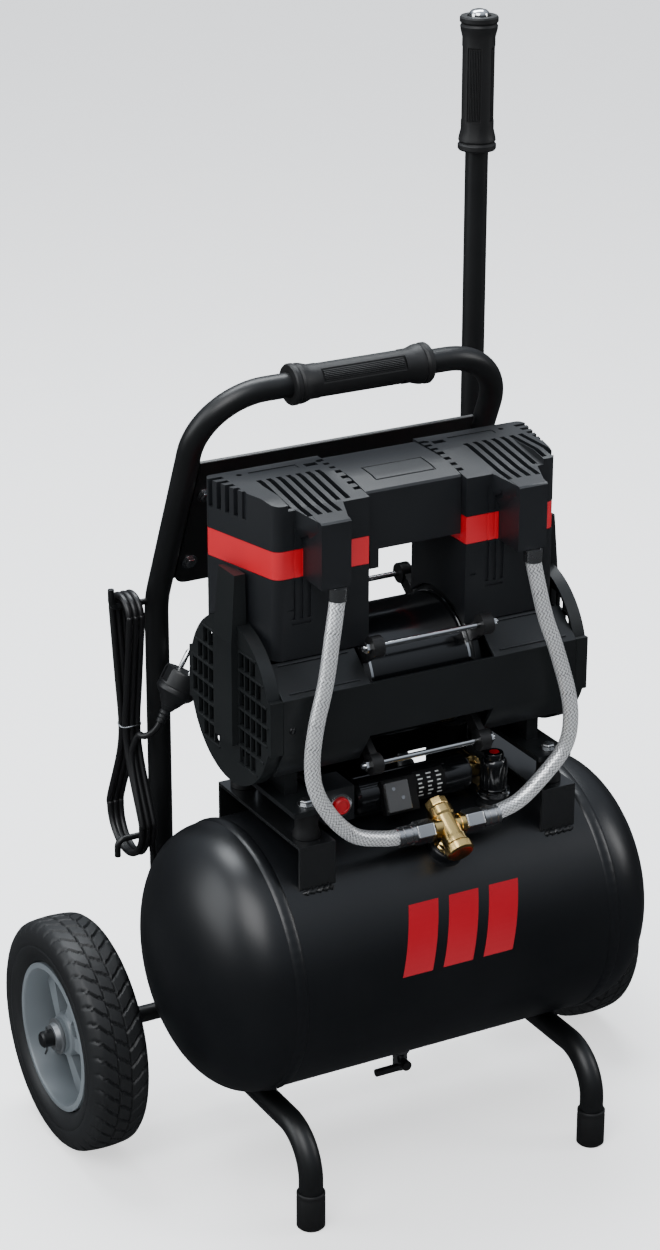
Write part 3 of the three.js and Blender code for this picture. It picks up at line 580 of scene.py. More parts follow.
def tyre_shape():
    """A tyre whose tread has two rings of slanted shoulder blocks round a ring of small middle blocks."""
    across = [17.5 - 35 * i / TREAD_STEPS for i in range(TREAD_STEPS + 1)]
    tread = [(WHEEL["radius"] - 0.0042 * t * t, t) for t in across]
    profile = TYRE_LOOP + tread + [(r, -t) for r, t in TYRE_LOOP[::-1]]
    around = TREAD_BLOCKS * TREAD_PER_BLOCK
    first = len(TYRE_LOOP)

    def depth(k, i):
        r, t = profile[k]
        if not 0 <= k - first <= TREAD_STEPS and not r > 103:
            return r
        flank = abs(t)
        if 5.4 < flank < 6.8:
            return r - 1.6
        phase = (i + (flank - 7) * 0.42 * TREAD_PER_BLOCK / 12 * 1.6) / TREAD_PER_BLOCK
        if flank <= 5.4:
            phase = (i + t * 0.5) / TREAD_PER_BLOCK + 0.5
        return r - (1.7 if phase % 1 < 0.16 else 0)

    def point(k, i, r):
        a = 2 * math.pi * i / around
        return (profile[k][1], r * math.cos(a), r * math.sin(a))

    return grid(depth, len(profile), around, point)


def rim_shape():
    """A deep dish between the hub and the barrel, with the barrel and the hub; the five broad spokes come
    from spoke().
    """
    barrel = [(70, -23.5), (70, 23.5), (68.5, 24.3), (65, 24.3), (63.6, 22.5), (62, 8), (60, -2),
              (60, -20), (62.5, -23.5)]
    hub = [(8.3, -24), (20, -24), (21, -22), (21, 10), (19.5, 13), (17, 14), (17, 17), (15, 18), (8.3, 18)]
    disc = [(19, -16), (61.5, -18), (61.5, -14), (19, -11)]
    return turned("x", barrel, 0, 0, 96), turned("x", hub, 0, 0, 64), turned("x", disc, 0, 0, 96)


def spoke(i):
    """One spoke: wide and low at the barrel, narrow and high at the hub."""
    ends = [(17, 6.5, -14, 11), (61.8, 11, -16, 3)]
    corners = []
    for r, half, low, high in ends:
        corners += [(low, -half - 1.5, r), (low, half + 1.5, r), (high, -half, r), (high, half, r)]
    return moved(hull(corners), Matrix.Rotation(2 * math.pi * i / 5 + 0.35, 4, "X"))


for name, side in SIDES:
    body = f"{name}_wheel"
    where = Matrix.Translation((side * WHEEL["middle"], WHEEL["y"], WHEEL["z"]))
    piece(f"{name}_tyre_tread", moved(flipped(tyre_shape(), side), where), TYRE, [f"{name}_tyre"],
          body=body, smooth=38)
    barrel, hub, disc = rim_shape()
    rim = to_object(moved(flipped(barrel, side), where))
    for extra in (disc, hub, *[spoke(i) for i in range(5)]):
        combined(rim, moved(flipped(extra, side), where), "UNION")
    piece(f"{name}_wheel_rim", rim, RIM, [f"{name}_rim"], body=body, bevel=1.0, smooth=40)
    out = side * (WHEEL["middle"] + 18.3)
    washer = [(8.3, out), (17, out), (17, out + side * 1.6), (8.3, out + side * 1.6)]
    cup = [(8.3, out + side * 1.6), (13.5, out + side * 1.6), (12, out + side * 6), (8.3, out + side * 6)]
    piece(f"{name}_wheel_washers", merged(turned("x", washer, *HUB, 40), turned("x", cup, *HUB, 40)),
          ALLOY)
    pin = tube([(out + side * 11, 126, 122), (out + side * 11, 126, 98), (out + side * 12, 128, 93)], 1, 8)
    piece(f"{name}_split_pin", pin, STEEL)
axle_ends = [(0, 281), (7.6, 281), (7.6, 298), (6, 299.6), (0, 300)]
axle = merged(rod("x", 8, -283, 283, *HUB, 40), turned("x", axle_ends, *HUB, 40),
              flipped(turned("x", axle_ends, *HUB, 40), -1))
piece("axle_bar", axle, FRAME_PAINT, ["axle"])


# ---- carry frame, plate, grips and mast -----------------------------------------
def loop_corners():
    """The corners of the hoop's centre line, from one foot over the top to the other."""
    half = [(FRAME["y"], FRAME["bottom"]), (FRAME["y"], FRAME["bend"]), FRAME_TOP]
    return [(-FRAME["x"], *at) for at in half] + [(FRAME["x"], *at) for at in half[::-1]]


def tilted(shape):
    """A shape made upright on the frame's bend line, leaned forward with the frame's upper part."""
    return moved(shape, Matrix.Translation((0, FRAME["y"], FRAME["bend"])) @ Matrix.Rotation(LEAN, 4, "X"))


def hook(z, tip):
    corners = [(-156, 171, z), (-197, 171, z), (-197, 171, z + tip)]
    return tube(bent(corners, 7, 10), 3, 20)


frame_bits = [hook(501, 18), hook(270, -17)]
for side in (-1, 1):
    x = side * FRAME["x"]
    frame_bits += [box(x - 3, x + 3, 112, 166, 95.5, 125.5), box(x - 3, x + 3, 112, 166, 206, 238)]
    frame_bits += [tilted(box(*sorted((side * 118, side * 148)), 2.3, 6, 20, 150))]
frame_bits += [box(158, 164.6, 166.7, 174.7, 310, 480)]
sleeve = turned("z", [(11.2, 300), (13.5, 300), (13.5, 500), (11.2, 500)], *MAST_AT, 48)
piece("carry_hoop", merged(tube(bent(loop_corners(), 62, 5), FRAME["radius"], 40), sleeve), FRAME_PAINT,
      ["carry_frame"], smooth=40)
piece("frame_brackets", merged(*frame_bits), FRAME_PAINT, bevel=0.8)
piece("back_plate", welded("cross_plate"), FRAME_PAINT, ["cross_plate"], bevel=0.9)
plate_bolts = [tilted(shifted(bolt("y", 5.5, -2, -7, side * 128, z))) for side in (-1, 1) for z in (44,
                                                                                                    124)]
piece("plate_bolts", merged(*plate_bolts), STEEL, bevel=0.3)


def grip(axis, bore, radius, collar, low, high, u, v, flats):
    """A rubber sleeve with a double collar at each end and long recessed panels."""
    ends = [(bore, low), (collar - 1, low), (collar, low + 1.5), (collar, low + 5), (collar - 1.6, low + 7),
            (collar - 0.4, low + 9), (collar - 0.8, low + 12), (radius, low + 19)]
    far = [(r, low + high - t) for r, t in ends[::-1]]
    obj = to_object(turned(axis, ends + far, u, v, 72))
    for turn in flats:
        wedge = []
        for along in (low + 27, high - 27):
            for a in [math.radians(turn + d) for d in (-26, -13, 0, 13, 26)]:
                for r in (radius - 0.9, radius + 4):
                    wedge.append(on_axis(axis, u + r * math.cos(a), v + r * math.sin(a), along))
        combined(obj, hull(wedge))
    return obj


def ribs(axis, radius, low, high, u, v, turns):
    """Fine raised lines along a grip's panels."""
    made = []
    for a in turns:
        c, s = math.cos(math.radians(a)), math.sin(math.radians(a))
        path = [Vector(on_axis(axis, u + radius * c, v + radius * s, t)) for t in (low, high)]
        made.append(tube(path, 0.55, 8))
    return merged(*made)


piece("top_grip", grip("x", 11.3, 15.5, 18.5, -68, 70, *FRAME_TOP, (60, 150, 240, 330)), RUBBER,
      ["carry_grip"], bevel=0.5)
lines = [t + d for t in (60, 150, 240, 330) for d in (-18, -12, -6, 0, 6, 12, 18)]
piece("top_grip_ribs", ribs("x", 14.55, -39, 41, *FRAME_TOP, lines), RUBBER)
mast = [(8.5, 330), (10.5, 330), (10.5, 979), (8.5, 979)]
piece("mast_pole", turned("z", mast, *MAST_AT, 56), FRAME_PAINT, ["mast_tube"], body="mast")
piece("mast_handle", grip("z", 10.8, 15, 17.5, 877, 998, *MAST_AT, (45, 135, 225, 315)), RUBBER,
      ["mast_grip"], body="mast", bevel=0.5)
lines = [t + d for t in (45, 135, 225, 315) for d in (-18, -12, -6, 0, 6, 12, 18)]
piece("mast_handle_ribs", ribs("z", 14.05, 906, 969, *MAST_AT, lines), RUBBER, body="mast")
dome = [(0, 985.5), (8.8, 985.5), (9.2, 992), (9.2, 999), (8.6, 1001), (6.8, 1002.8), (3.6, 1003.8),
        (0, 1004)]
piece("mast_release_button", merged(turned("z", dome, *MAST_AT, 48), rod("z", 3, 900, 986, *MAST_AT, 24)),
      CHROME, ["mast_button"], body="mast_release")


# ---- motor ----------------------------------------------------------------------
def motor_lugs():
    shapes = []
    for y in (-ROD_Y, ROD_Y):
        for z in (-ROD_Z, ROD_Z):
            for end in (-1, 1):
                arm = box(-3.5, 3.5, 56, 86, -7, 7)
                eye = rod("x", 9.5, -5.5, 5.5, math.hypot(y, z), 0, 32)
                turn = Matrix.Translation((end * 54.5, 0, 0)) @ Matrix.Rotation(math.atan2(z, y), 4, "X")
                shapes += [moved(arm, turn), moved(eye, turn)]
    return shapes


can = [(34, -56), (60, -56), (60, 56), (34, 56)]
piece("motor_can", at_pump(turned("x", can, 0, 0, 112)), MOTOR_PAINT, ["motor_housing"])
flanges = [(34, 51), (62, 51), (65, 52), (65, 58), (34, 58)]
both = [at_pump(flipped(turned("x", flanges, 0, 0, 96), side)) for side in (-1, 1)]
piece("motor_flanges", merged(*both), COWL, bevel=0.5)
rings_shape = [(59.5, 47.8), (60.9, 47.8), (60.9, 50.6), (59.5, 50.6)]
both = [at_pump(flipped(turned("x", rings_shape, 0, 0, 112), side)) for side in (-1, 1)]
piece("motor_rings", merged(*both), CHROME)
piece("motor_lugs", at_pump(merged(*motor_lugs())), RUBBER, bevel=0.8)
tie_rods = []
for y in (-ROD_Y, ROD_Y):
    for z in (-ROD_Z, ROD_Z):
        tie_rods += [rod("x", 2.6, -67, 67, y, z, 20)]
        tie_rods += [turned("x", [(0, s * 60), (5, s * 60), (5, s * 64.5), (0, s * 64.5)], y, z,
                            6) for s in (-1, 1)]
piece("motor_tie_rods", at_pump(merged(*tie_rods)), CHROME, bevel=0.3)


# ---- head covers ------------------------------------------------------------------
RAMP_START, RAMP_DROP, RAMP_EDGE = 4, 8.5, 126
LIP_START, LIP_DROP = -30, 3.5


def head_plan(inset, corner=5):
    inner, front, back = HEAD["inner"] + inset, HEAD["front"] + inset, HEAD["back"] - inset
    outer_front, outer_back = HEAD["outer_front"] - inset, HEAD["outer_back"] - inset
    return [(inner, front), (outer_front - corner * 2, front),
            *arc(outer_front - corner * 2 + 1, front + 9, 9, -84, -14, 5),
            (outer_back, back - corner - 3), *arc(outer_back - corner - 1, back - corner - 1, corner, 8,
                                                  90, 4), (inner, back)]


def falling(start, drop):
    """The outline above a slope that starts at y = start and has fallen by drop at the head's front face."""
    past = -60
    low = HEAD["top"] - drop * (start - past) / (start - HEAD["front"])
    return [(start, HEAD["top"]), (past, low), (past, HEAD["top"] + 40), (start, HEAD["top"] + 40)]


def shroud_body():
    """The plain cover: a ramp, where shroud() later cuts the slots, runs down to the nose, and the outer
    corner has a short lip.
    """
    obj = to_object(at_pump(prism("z", head_plan(0), 48, HEAD["top"])))
    combined(obj, at_pump(prism("x", falling(RAMP_START, RAMP_DROP), 20, RAMP_EDGE)))
    combined(obj, at_pump(prism("x", falling(LIP_START, LIP_DROP), 20, 190)))
    return obj


def nose_shape(side):
    """The box that the hose leaves, with a falling top, and a gusset that widens it at the head."""
    half, front, shift = NOSE["half"], NOSE["front"], -side * NOSE["shift"]
    x, low, high = HEAD["x"], NOSE["bottom"], NOSE["top"]
    base = HEAD["front"] + 2
    points = [(x + s * (half + 0.8), base, z) for s in (-1, 1) for z in (low, high)]
    points += [(x + shift + s * half, front, z) for s in (-1, 1) for z in (low, high - 4.5)]
    points += [(x + shift + s * half, front + 2, high - 3) for s in (-1, 1)]
    gusset = [(x + shift + s * half, front + 6, z) for s in (-1, 1) for z in (high - 12, high - 3)]
    gusset += [(x + s * NOSE["flare"], base, z) for s in (-1, 1) for z in (high - 17, high)]
    gusset += [(x + s * half, base, high - 34) for s in (-1, 1)]
    return hull(points), hull(gusset)


def band_ring(outer, inner, low, high, gap):
    """A ring round the head's plan between two insets, open where the nose stands."""
    ring = to_object(at_pump(prism("z", head_plan(outer), low, high)))
    x = HEAD["x"]
    nose_gap = [(x - gap, -40), (x - gap, -95), (x + gap, -95), (x + gap, -40)]
    for outline in (head_plan(inner), nose_gap):
        combined(ring, at_pump(prism("z", outline, BAND[0] - 5, BAND[1] + 5)))
    return ring


def flute_places(side):
    """Where three upright flutes run: beside the nose, on the same hand of both heads."""
    first = HEAD["x"] + 8 if side < 0 else HEAD["x"] - 28
    return [first + 7.5 * i for i in range(3)]


def duct_shapes(room=0.0):
    """The strip that joins a guard to its head cover: thick over the guard, thinning to the band."""
    low, knee, top = -36, 58, BAND[0] - 2 + room * 0.7
    half = 17 + room
    foot = [(x, s * half, z) for s in (-1, 1) for x in (GUARD["end"] - 3, 165) for z in (low, knee + 1)]
    upper = [(x, s * half, knee) for s in (-1, 1) for x in (150 - room, 165)]
    upper += [(x, s * (half - 2), top) for s in (-1, 1) for x in (150 - room, 160.4 + room)]
    return hull(foot), hull(upper)


def shroud(name, side):
    """A head cover with its nose, its slots and louvres, and the groove that the red band lies in."""
    obj = shroud_body()
    nose, gusset = nose_shape(side)
    combined(obj, at_pump(nose), "UNION")
    combined(obj, at_pump(gusset), "UNION")
    inside = at_pump(prism("z", head_plan(4), 40, HEAD["top"] - RAMP_DROP - 4))
    combined(obj, inside)
    combined(obj, band_ring(-6, 1.8, BAND[0] - 0.4, BAND[1] + 0.4, 15))
    x, top = HEAD["x"], HEAD["top"]
    cutters = []
    first_slot = 64 if side < 0 else 79.5
    for i in range(7):
        # A slot in the ramp, a louvre through the outer edge and a notch in the inner edge.
        place = first_slot + 9.4 * i
        over_nose = abs(place + 2.4 - x) < NOSE["flare"] - 4
        cutters.append(box(place, place + 4.8, -64 if over_nose else -44, 12, top - 14, top + 5))
        y = 33 - 10.6 * i
        cutters.append(box(146, 170, y - 2.6, y + 2.6, top - 24, top + 5))
        cutters.append(box(30, 54, y - 2.4, y + 2.4, top - 9, top + 5))
    for place in flute_places(side):
        cutters.append(box(place, place + 3.2, -60, -46.6, 84, 120.5))
        cutters.append(box(place, place + 2.2, -60, -47.2, BAND[1] + 2, 172))
    # A line under the flutes, a notch on top, a short mark beyond the nose and a shallow plate on top.
    first = flute_places(side)[0]
    mark = x + 24 if side < 0 else x - 44
    cutters.append(box(first, first + 18, -60, -47, 79, 81))
    cutters.append(box(58, 70, 24, 31, top - 5, top + 5))
    cutters.append(box(mark, mark + 6, -60, -47, 92, 94))
    cutters.append(box(76, 122, 25, 34, top - 0.7, top + 5))
    combined(obj, at_pump(merged(*cutters)))
    holes = [rod("z", 2.6, top - 9, top + 5, hole, 32, 20) for hole in (131, 54)]
    combined(obj, at_pump(merged(*holes)))
    combined(obj, at_pump(rod("x", MOTOR_FLANGE + 1, 40, 62, 0, 0, 96)))
    combined(obj, at_pump(rod("x", GUARD["radius"] + 0.4, GUARD["end"] - GUARD["rim"] - 0.4, 180, 0, 0,
                              96)))
    for shape in duct_shapes(0.4):
        combined(obj, at_pump(shape))
    flip_about_pump(obj, side)
    piece(f"{name}_head_cover", obj, COVER, [f"{name}_shroud"], bevel=0.55, smooth=30)


def flip_about_pump(obj, side):
    """Mirrors a left-hand mesh in the pump's middle plane."""
    if side > 0:
        return
    there, back = [Matrix.Translation((s * PUMP[0] * MM, 0, 0)) for s in (-1, 1)]
    obj.data.transform(back @ Matrix.Scale(-1, 4, (1, 0, 0)) @ there)
    obj.data.flip_normals()


def band(name, side):
    """The red band in its groove, with the flutes running through it."""
    obj = band_ring(0.2, 1.6, *BAND, 15.3)
    lines = [box(place, place + 2.2, -60, -47.3, BAND[0] - 5, BAND[1] + 5) for place in flute_places(side)]
    combined(obj, at_pump(merged(*lines)))
    flip_about_pump(obj, side)
    piece(f"{name}_red_band", obj, RED, [f"{name}_band"], bevel=0.3)


for name, side in SIDES:
    shroud(name, side)
    band(name, side)
    # A dark wall just inside each head cover: painted shade, seen through its slots and notches.
    inner = to_object(at_pump(prism("z", head_plan(4.4), 60, HEAD["top"] - 26)))
    combined(inner, at_pump(prism("z", head_plan(9), 50, HEAD["top"] - 30)))
    flip_about_pump(inner, side)
    piece(f"{name}_head_shade_wall", inner, DARK_PLASTIC_AND_SHADE)
cover = [(-40, 130), (-40, 182), (-38.5, 184), (-16, 189), (0, 190), (40, 190), (40, 130)]
centre = to_object(at_pump(prism("x", cover, -47.4, 47.4)))
combined(centre, at_pump(box(-44, 44, -37, 37, 120, 173)))
inset = [(-29, -25), (31, -25), (31, 2), (-29, 2)]
ring = to_object(at_pump(prism("z", inset, 186.5, 200)))
combined(ring, at_pump(box(-27.6, 29.6, -23.6, 0.6, 180, 210)))
combined(centre, ring)
combined(centre, at_pump(box(-43, -34, -40, -36.5, 113, 132)), "UNION")
piece("bridge_cover", centre, COVER, ["centre_cover"], bevel=0.9, segments=3)


# ---- fan guards and cowls -----------------------------------------------------------
def fan_guard(name, side):
    """A round guard with four grids of openings, crossed by a duct and two tabs."""
    end, start, wall = GUARD["end"], GUARD["end"] - GUARD["rim"], GUARD["wall"]
    radius, tab_y, tab_z = GUARD["radius"], GUARD["tab_y"], GUARD["tab_z"]
    obj = to_object(at_pump(rod("x", radius, start, end, 0, 0, 128)))
    combined(obj, at_pump(box(start, end, -tab_y, tab_y, -tab_z, tab_z)), "UNION")
    hollow = to_object(at_pump(rod("x", radius - wall, start - 1, end - wall, 0, 0, 96)))
    combined(hollow, at_pump(box(start - 1, end - wall, -tab_y + wall, tab_y - wall, -tab_z + wall,
                                 tab_z - wall)), "UNION")
    combined(obj, hollow)
    vents = []
    for bank in (-1, 1):
        for column in range(5):
            y = bank * (24 + 10.4 * column)
            for row in range(-4, 4):
                z = 2 + 17.6 * row
                reach = math.hypot(abs(y) + 4, max(abs(z), abs(z + 14.6)))
                if reach < radius - 3:
                    vents.append(box(end - 8, end + 4, y - 4.1, y + 4.1, z, z + 14.6))
    combined(obj, at_pump(merged(*vents)))
    for shape in duct_shapes():
        combined(obj, at_pump(shape), "UNION")
    flip_about_pump(obj, side)
    piece(f"{name}_guard", obj, GRILLE, [f"{name}_fan_guard"], bevel=0.5)
    bars = []
    for z in (-52.3, -34.7, -17.1, 0.5, 18.1, 35.7, 53.3):
        half = math.sqrt(radius**2 - z**2) - 3
        for bank in (-1, 1):
            low, high = sorted((bank * 18, bank * half))
            bars.append(box(end - 0.5, end + 0.9, low, high, z - 1.0, z + 1.0))
    obj = to_object(at_pump(merged(*bars)))
    flip_about_pump(obj, side)
    piece(f"{name}_guard_bars", obj, GRILLE, bevel=0.25)


def belly_strips():
    """Thin raised lines on the sloping part of the front cowl, over each crankcase."""
    (y0, z0), (y1, z1) = (-74.6, 26.6), (-47.6, 47.2)
    lift = Vector((0, -(z1 - z0), y1 - y0)).normalized() * 0.9
    strips = []
    for side in (-1, 1):
        low, high = sorted((side * 70, side * 138))
        for start, end in ((0.06, 0.1), (0.9, 0.94)):
            corners = []
            for x, share in ((low, start), (high, start), (high, end), (low, end)):
                base = Vector((x, y0 + (y1 - y0) * share, z0 + (z1 - z0) * share))
                corners += [tuple(base - lift), tuple(base + lift)]
            strips.append(hull(corners))
    return at_pump(merged(*strips))


for name, side in SIDES:
    fan_guard(name, side)
piece("front_belly_cover", welded("front_cowl"), COWL, ["front_cowl"], bevel=0.7, segments=3)
piece("front_belly_strips", belly_strips(), COVER, bevel=0.2)
piece("rear_belly_cover", welded("rear_cowl"), COWL, ["rear_cowl"], bevel=0.7, segments=3)
screws = [at_pump(screw_head("y", 3.2, -77, -79, x, -4)) for x in (-138, 138)]
piece("cowl_screws", merged(*screws), MOTOR_PAINT)

# ---- moving inner pieces and castings --------------------------------------------------
# The fans take the darker plastic as painted shade inside the guards.
for node, body, look, slot in (
    ("rotor_shaft", "rotor", STEEL, "steel"), ("left_fan", "rotor", DARK_PLASTIC_AND_SHADE, "cover_plastic"),
    ("right_fan", "rotor", DARK_PLASTIC_AND_SHADE, "cover_plastic"), ("left_con_rod", "left_rod", ALLOY, "alloy"),
    ("right_con_rod", "right_rod", ALLOY, "alloy"), ("left_crankcase", ROOT, COWL, "alloy"),
    ("right_crankcase", ROOT, COWL, "alloy"), ("left_cylinder", ROOT, ALLOY, "alloy"),
    ("right_cylinder", ROOT, ALLOY, "alloy"),
):
    piece(f"{node}_body", welded(node), look, [node], body=body, bevel=0.4)
piece("lock_pin_body", welded("mast_lock_pin"), CHROME, ["mast_lock_pin"], body="lock_pin", bevel=0.5)


# ---- hoses ---------------------------------------------------------------------------
LEFT_HOSE = [(-98.5, -70, 585.4), (-99, -70.4, 573), (-106.4, -76, 544.9), (-115.4, -81, 506.1),
             (-126.6, -84, 467.2), (-130.2, -84, 433.6), (-125.2, -83, 406.2), (-108.4, -82, 377.5),
             (-85.4, -80, 355.4), (-56.9, -78.5, 345.6), (-40, -78, 343.2), (-24, -78, 342.8)]
RIGHT_HOSE = [(94.5, -70, 585.4), (95.2, -70.4, 573), (103.4, -78, 525.5), (113.8, -82, 492.4),
              (126, -84, 450.6), (130, -84, 422.2), (126.5, -83, 398.3), (111.7, -82, 378.7),
              (81.8, -80, 352.7), (53.3, -78, 343.6), (40, -78, 342.8)]
HOSE_SIDES = 60
BRAID_STARTS = 12
BRAID_PITCH = 50
BRAID_STEP = 0.8


def weave(step, i):
    """How far a strand of the braid stands up, where two sets of strands cross over and under."""
    turn = i / HOSE_SIDES
    along = step * BRAID_STEP / BRAID_PITCH
    one = BRAID_STARTS * (turn + along)
    two = BRAID_STARTS * (turn - along)
    over = 0.5 + 0.5 * math.cos(math.pi * (math.floor(one) + math.floor(two)))
    return abs(math.sin(math.pi * one)) * over + abs(math.sin(math.pi * two)) * (1 - over)


def braided(route):
    """A braided hose along a route, with the height of its strands kept on the mesh for the material, which
    paints shade between the strands from it.
    """
    line = curve_through(route, 40)
    length = [0]
    for a, b in zip(line, line[1:]):
        length.append(length[-1] + (b - a).length)
    count = int(length[-1] / BRAID_STEP)
    path, k = [], 0
    for i in range(count + 1):
        want = length[-1] * i / count
        while k < len(length) - 2 and length[k + 1] < want:
            k += 1
        share = (want - length[k]) / max(1e-9, length[k + 1] - length[k])
        path.append(line[k].lerp(line[k + 1], share))
    obj = to_object(tube(path, lambda step, i: 6.6 + 0.45 * weave(step, i), HOSE_SIDES))
    height = obj.data.attributes.new("weave", "FLOAT", "POINT")
    height.data.foreach_set("value", [weave(*divmod(i, HOSE_SIDES)) for i in range(len(obj.data.vertices))])
    return obj


def hose_fittings(side):
    """The nut, its collar and the grooved ferrule at a hose's lower end."""
    start = VALVE[0] + side * 15.8
    y, z = VALVE[1], VALVE[2]

    def part(profile, sides):
        return turned("x", [(r, start + side * t) for r, t in profile], y, z, sides)

    nut = part([(0, 0), (9.6, 0), (11, 1.4), (11, 17.4), (9.6, 18.8), (0, 18.8)], 6)
    ferrule = part([(0, 18.8), (9.4, 18.8), (9.4, 22), (8.4, 22.6), (8.4, 24), (9, 24.6), (9, 30),
                    (8.3, 30.6), (8.3, 31.6), (9, 32.2), (9, 35.4), (8.2, 36), (0, 36)], 48)
    return nut, ferrule


for name, side, route in (("left", -1, LEFT_HOSE), ("right", 1, RIGHT_HOSE)):
    piece(f"{name}_braided_hose", braided(route), BRAID, [f"{name}_hose"], smooth=60)
    nut, ferrule = hose_fittings(side)
    piece(f"{name}_hose_nut", nut, STEEL, bevel=0.6)
    piece(f"{name}_hose_ferrule", ferrule, STEEL)
    x = PUMP[0] + side * HEAD["x"]
    top = turned("z", [(0, 585.6), (8.4, 585.6), (8.4, 583), (8, 574), (0, 574)], x, -70.2, 40)
    piece(f"{name}_hose_collar", top, STEEL)


def valve_shapes():
    barrel = [(0, -22), (9.6, -22), (11.2, -20), (11.2, -14), (10.2, -12), (10.2, 8), (11.5, 10),
              (11.5, 17), (9, 20), (0, 20)]
    cap = [(0, -30), (11, -30), (13, -28.6), (13, -22), (0, -22)]
    crown = [(0, 19), (10, 19), (10.5, 20), (10.5, 26), (8, 27), (0, 27)]
    stem = [(0, -12.6), (9.5, -12.6), (9.5, -7), (8.5, -6), (8.5, 0), (0, 0)]
    arm = [(0, -15.4), (9, -15.4), (9, -11.5), (8.2, -11), (8.2, 11), (9, 11.5), (9, 15.4), (0, 15.4)]
    return (turned("y", barrel, 0, 0, 48), turned("x", arm, 0, 0, 48), turned("z", stem, 0, -10, 6),
            turned("y", crown, 0, 0, 8), turned("y", cap, 0, 0, 12))


barrel, *extras = [on_shoulder(shape) for shape in valve_shapes()]
valve = to_object(barrel)
for extra in extras:
    combined(valve, extra, "UNION")
piece("valve_body", valve, BRASS, ["check_valve"], bevel=0.5)

# ---- controls on the tank ---------------------------------------------------------------
x, y = 75.5, -45
base = [(0, 325), (15.5, 325), (15.5, 338), (13.5, 340), (13.5, 346), (0, 346)]
rings_steel = [(0, 345.5), (14.5, 345.5), (15, 346.3), (15, 348), (13.2, 349), (15, 350), (15, 351.4),
               (0, 351.4)]
reg = to_object(turned("z", base, x, y, 48))
combined(reg, box(66.5, 84.5, -37, -15, 338, 350), "UNION")
piece("regulator_base", reg, COWL, ["regulator_body"], bevel=0.6)
piece("regulator_rings", turned("z", rings_steel, x, y, 56), CHROME)
knob = [(0, 352.2), (11.5, 352.2), (12.3, 353.5), (12.5, 375), (11.6, 379), (10, 381), (9, 381.4),
        (9, 385), (8, 386.8), (0, 386.8)]
knob_obj = to_object(turned("z", knob, x, y, 72))
flutes = []
for i in range(18):
    a = 2 * math.pi * i / 18
    flutes.append(rod("z", 0.9, 356, 376, x + 12.8 * math.cos(a), y + 12.8 * math.sin(a), 8))
piece("regulator_grip", knob_obj, MOTOR_PAINT, ["regulator_knob"], body="knob",
      bevel=0.4, cuts=[merged(*flutes)])
mark = [(0, 386.7), (4.5, 386.7), (4.5, 387), (0, 387)]
piece("regulator_cap_mark", turned("z", mark, x, y, 24), RED, body="knob")
piece("outlet_fitting", welded("outlet_coupler"), BRASS, ["outlet_coupler"], bevel=0.5)
sx, sy, sz = SWITCH
switch = to_object(box(sx - 14.6, sx + 14.6, sy - 16.6, sy + 16.6, sz - 16.6, sz + 15.6))
gland = turned("y", [(0, sy + 16), (8.5, sy + 16), (8.5, sy + 20), (6.5, sy + 22), (5.4, sy + 33),
                     (0, sy + 33)], sx, sz, 32)
combined(switch, rod("y", 8.5, sy - 30, sy - 9, sx, sz, 40))
combined(switch, gland, "UNION")
piece("switch_case", switch, COVER, ["switch_box"], bevel=1.6, segments=3)
ring = [(8.1, sy - 16.4), (11, sy - 16.4), (11, sy - 19), (8.1, sy - 19)]
piece("switch_ring", turned("y", ring, sx, sz, 48), CHROME, bevel=0.3)
key = [(0, sy - 12), (7.7, sy - 12), (7.7, sy - 21.4), (6.6, sy - 22.6), (5.6, sy - 22.6), (5, sy - 21.8),
       (0, sy - 21.8)]
piece("start_key_cap", turned("y", key, sx, sz, 48), RED, ["start_button"], body="start_key")
CAN_Y, CAN_Z, CAN_RADIUS = -25, 364, 17
can = [(0, -60), (14, -60), (17, -57), (17, 54), (14, 57), (0, 57)]
piece("capacitor_can", merged(turned("x", can, CAN_Y, CAN_Z, 72), box(-6, 6, -33, -17, 343, 350)),
      MOTOR_PAINT, ["capacitor"])


def label_patch(x0, x1, start, end, lift, rows=8):
    """A curved patch on the capacitor's front, between two angles above the horizontal."""
    radius = CAN_RADIUS + lift
    points = []
    for i in range(rows + 1):
        a = math.radians(start + (end - start) * i / rows)
        for x_at in (x0, x1):
            points.append((x_at, CAN_Y - radius * math.cos(a), CAN_Z + radius * math.sin(a)))
    return points, [[2 * i, 2 * i + 1, 2 * i + 3, 2 * i + 2] for i in range(rows)]


piece("capacitor_label", label_patch(-3, 28, -30, 62, 0.15), DARK_PLASTIC_AND_SHADE)
breaker_place = Matrix.Translation((-21, -44, 365)) @ Matrix.Rotation(math.radians(-24), 4, "X")
piece("breaker_base", moved(box(-17, 17, -2, 6, -15.5, 15.5), breaker_place), DARK_PLASTIC_AND_SHADE, bevel=0.6)
piece("breaker_window", moved(box(-15.5, 8, -6, -1, -13.5, 13.5), breaker_place), CLEAR, bevel=1.2,
      segments=3)
contacts = [moved(rod("y", 1.7, -6.6, -5.8, -8 + 8 * i, 7 - 9 * i, 16), breaker_place) for i in range(2)]
piece("breaker_screws", merged(*contacts), STEEL)
specks = []
for row in range(6):
    for column in range(3):
        low = 9.5 * column
        specks.append(label_patch(low, low + (3.5 if (row + column) % 2 else 5), -20 + 13 * row,
                                  -16 + 13 * row, 0.25, 2))
piece("capacitor_marks", merged(*specks), LABEL)
rail = box(-108, 110, 58, 61, 330, 408)
rail_cuts = [box(36, 67, 50, 70, 326, 352), rod("y", 7, 50, 70, -81, 358.3, 32)]
piece("base_rail", rail, DARK_PLASTIC_AND_SHADE, bevel=0.5, cuts=rail_cuts)
piece("drain_body", welded("drain_valve"), STEEL, ["drain_valve"], bevel=0.4)
piece("drain_handle_grip", welded("drain_lever"), RUBBER, ["drain_lever"], body="drain_handle", bevel=0.6)
piece("relief_body", welded("safety_valve"), COWL, ["safety_valve"], bevel=0.4)
piece("relief_ring_wire", welded("safety_ring"), COWL, ["safety_ring"], body="relief_ring",
      smooth=70)


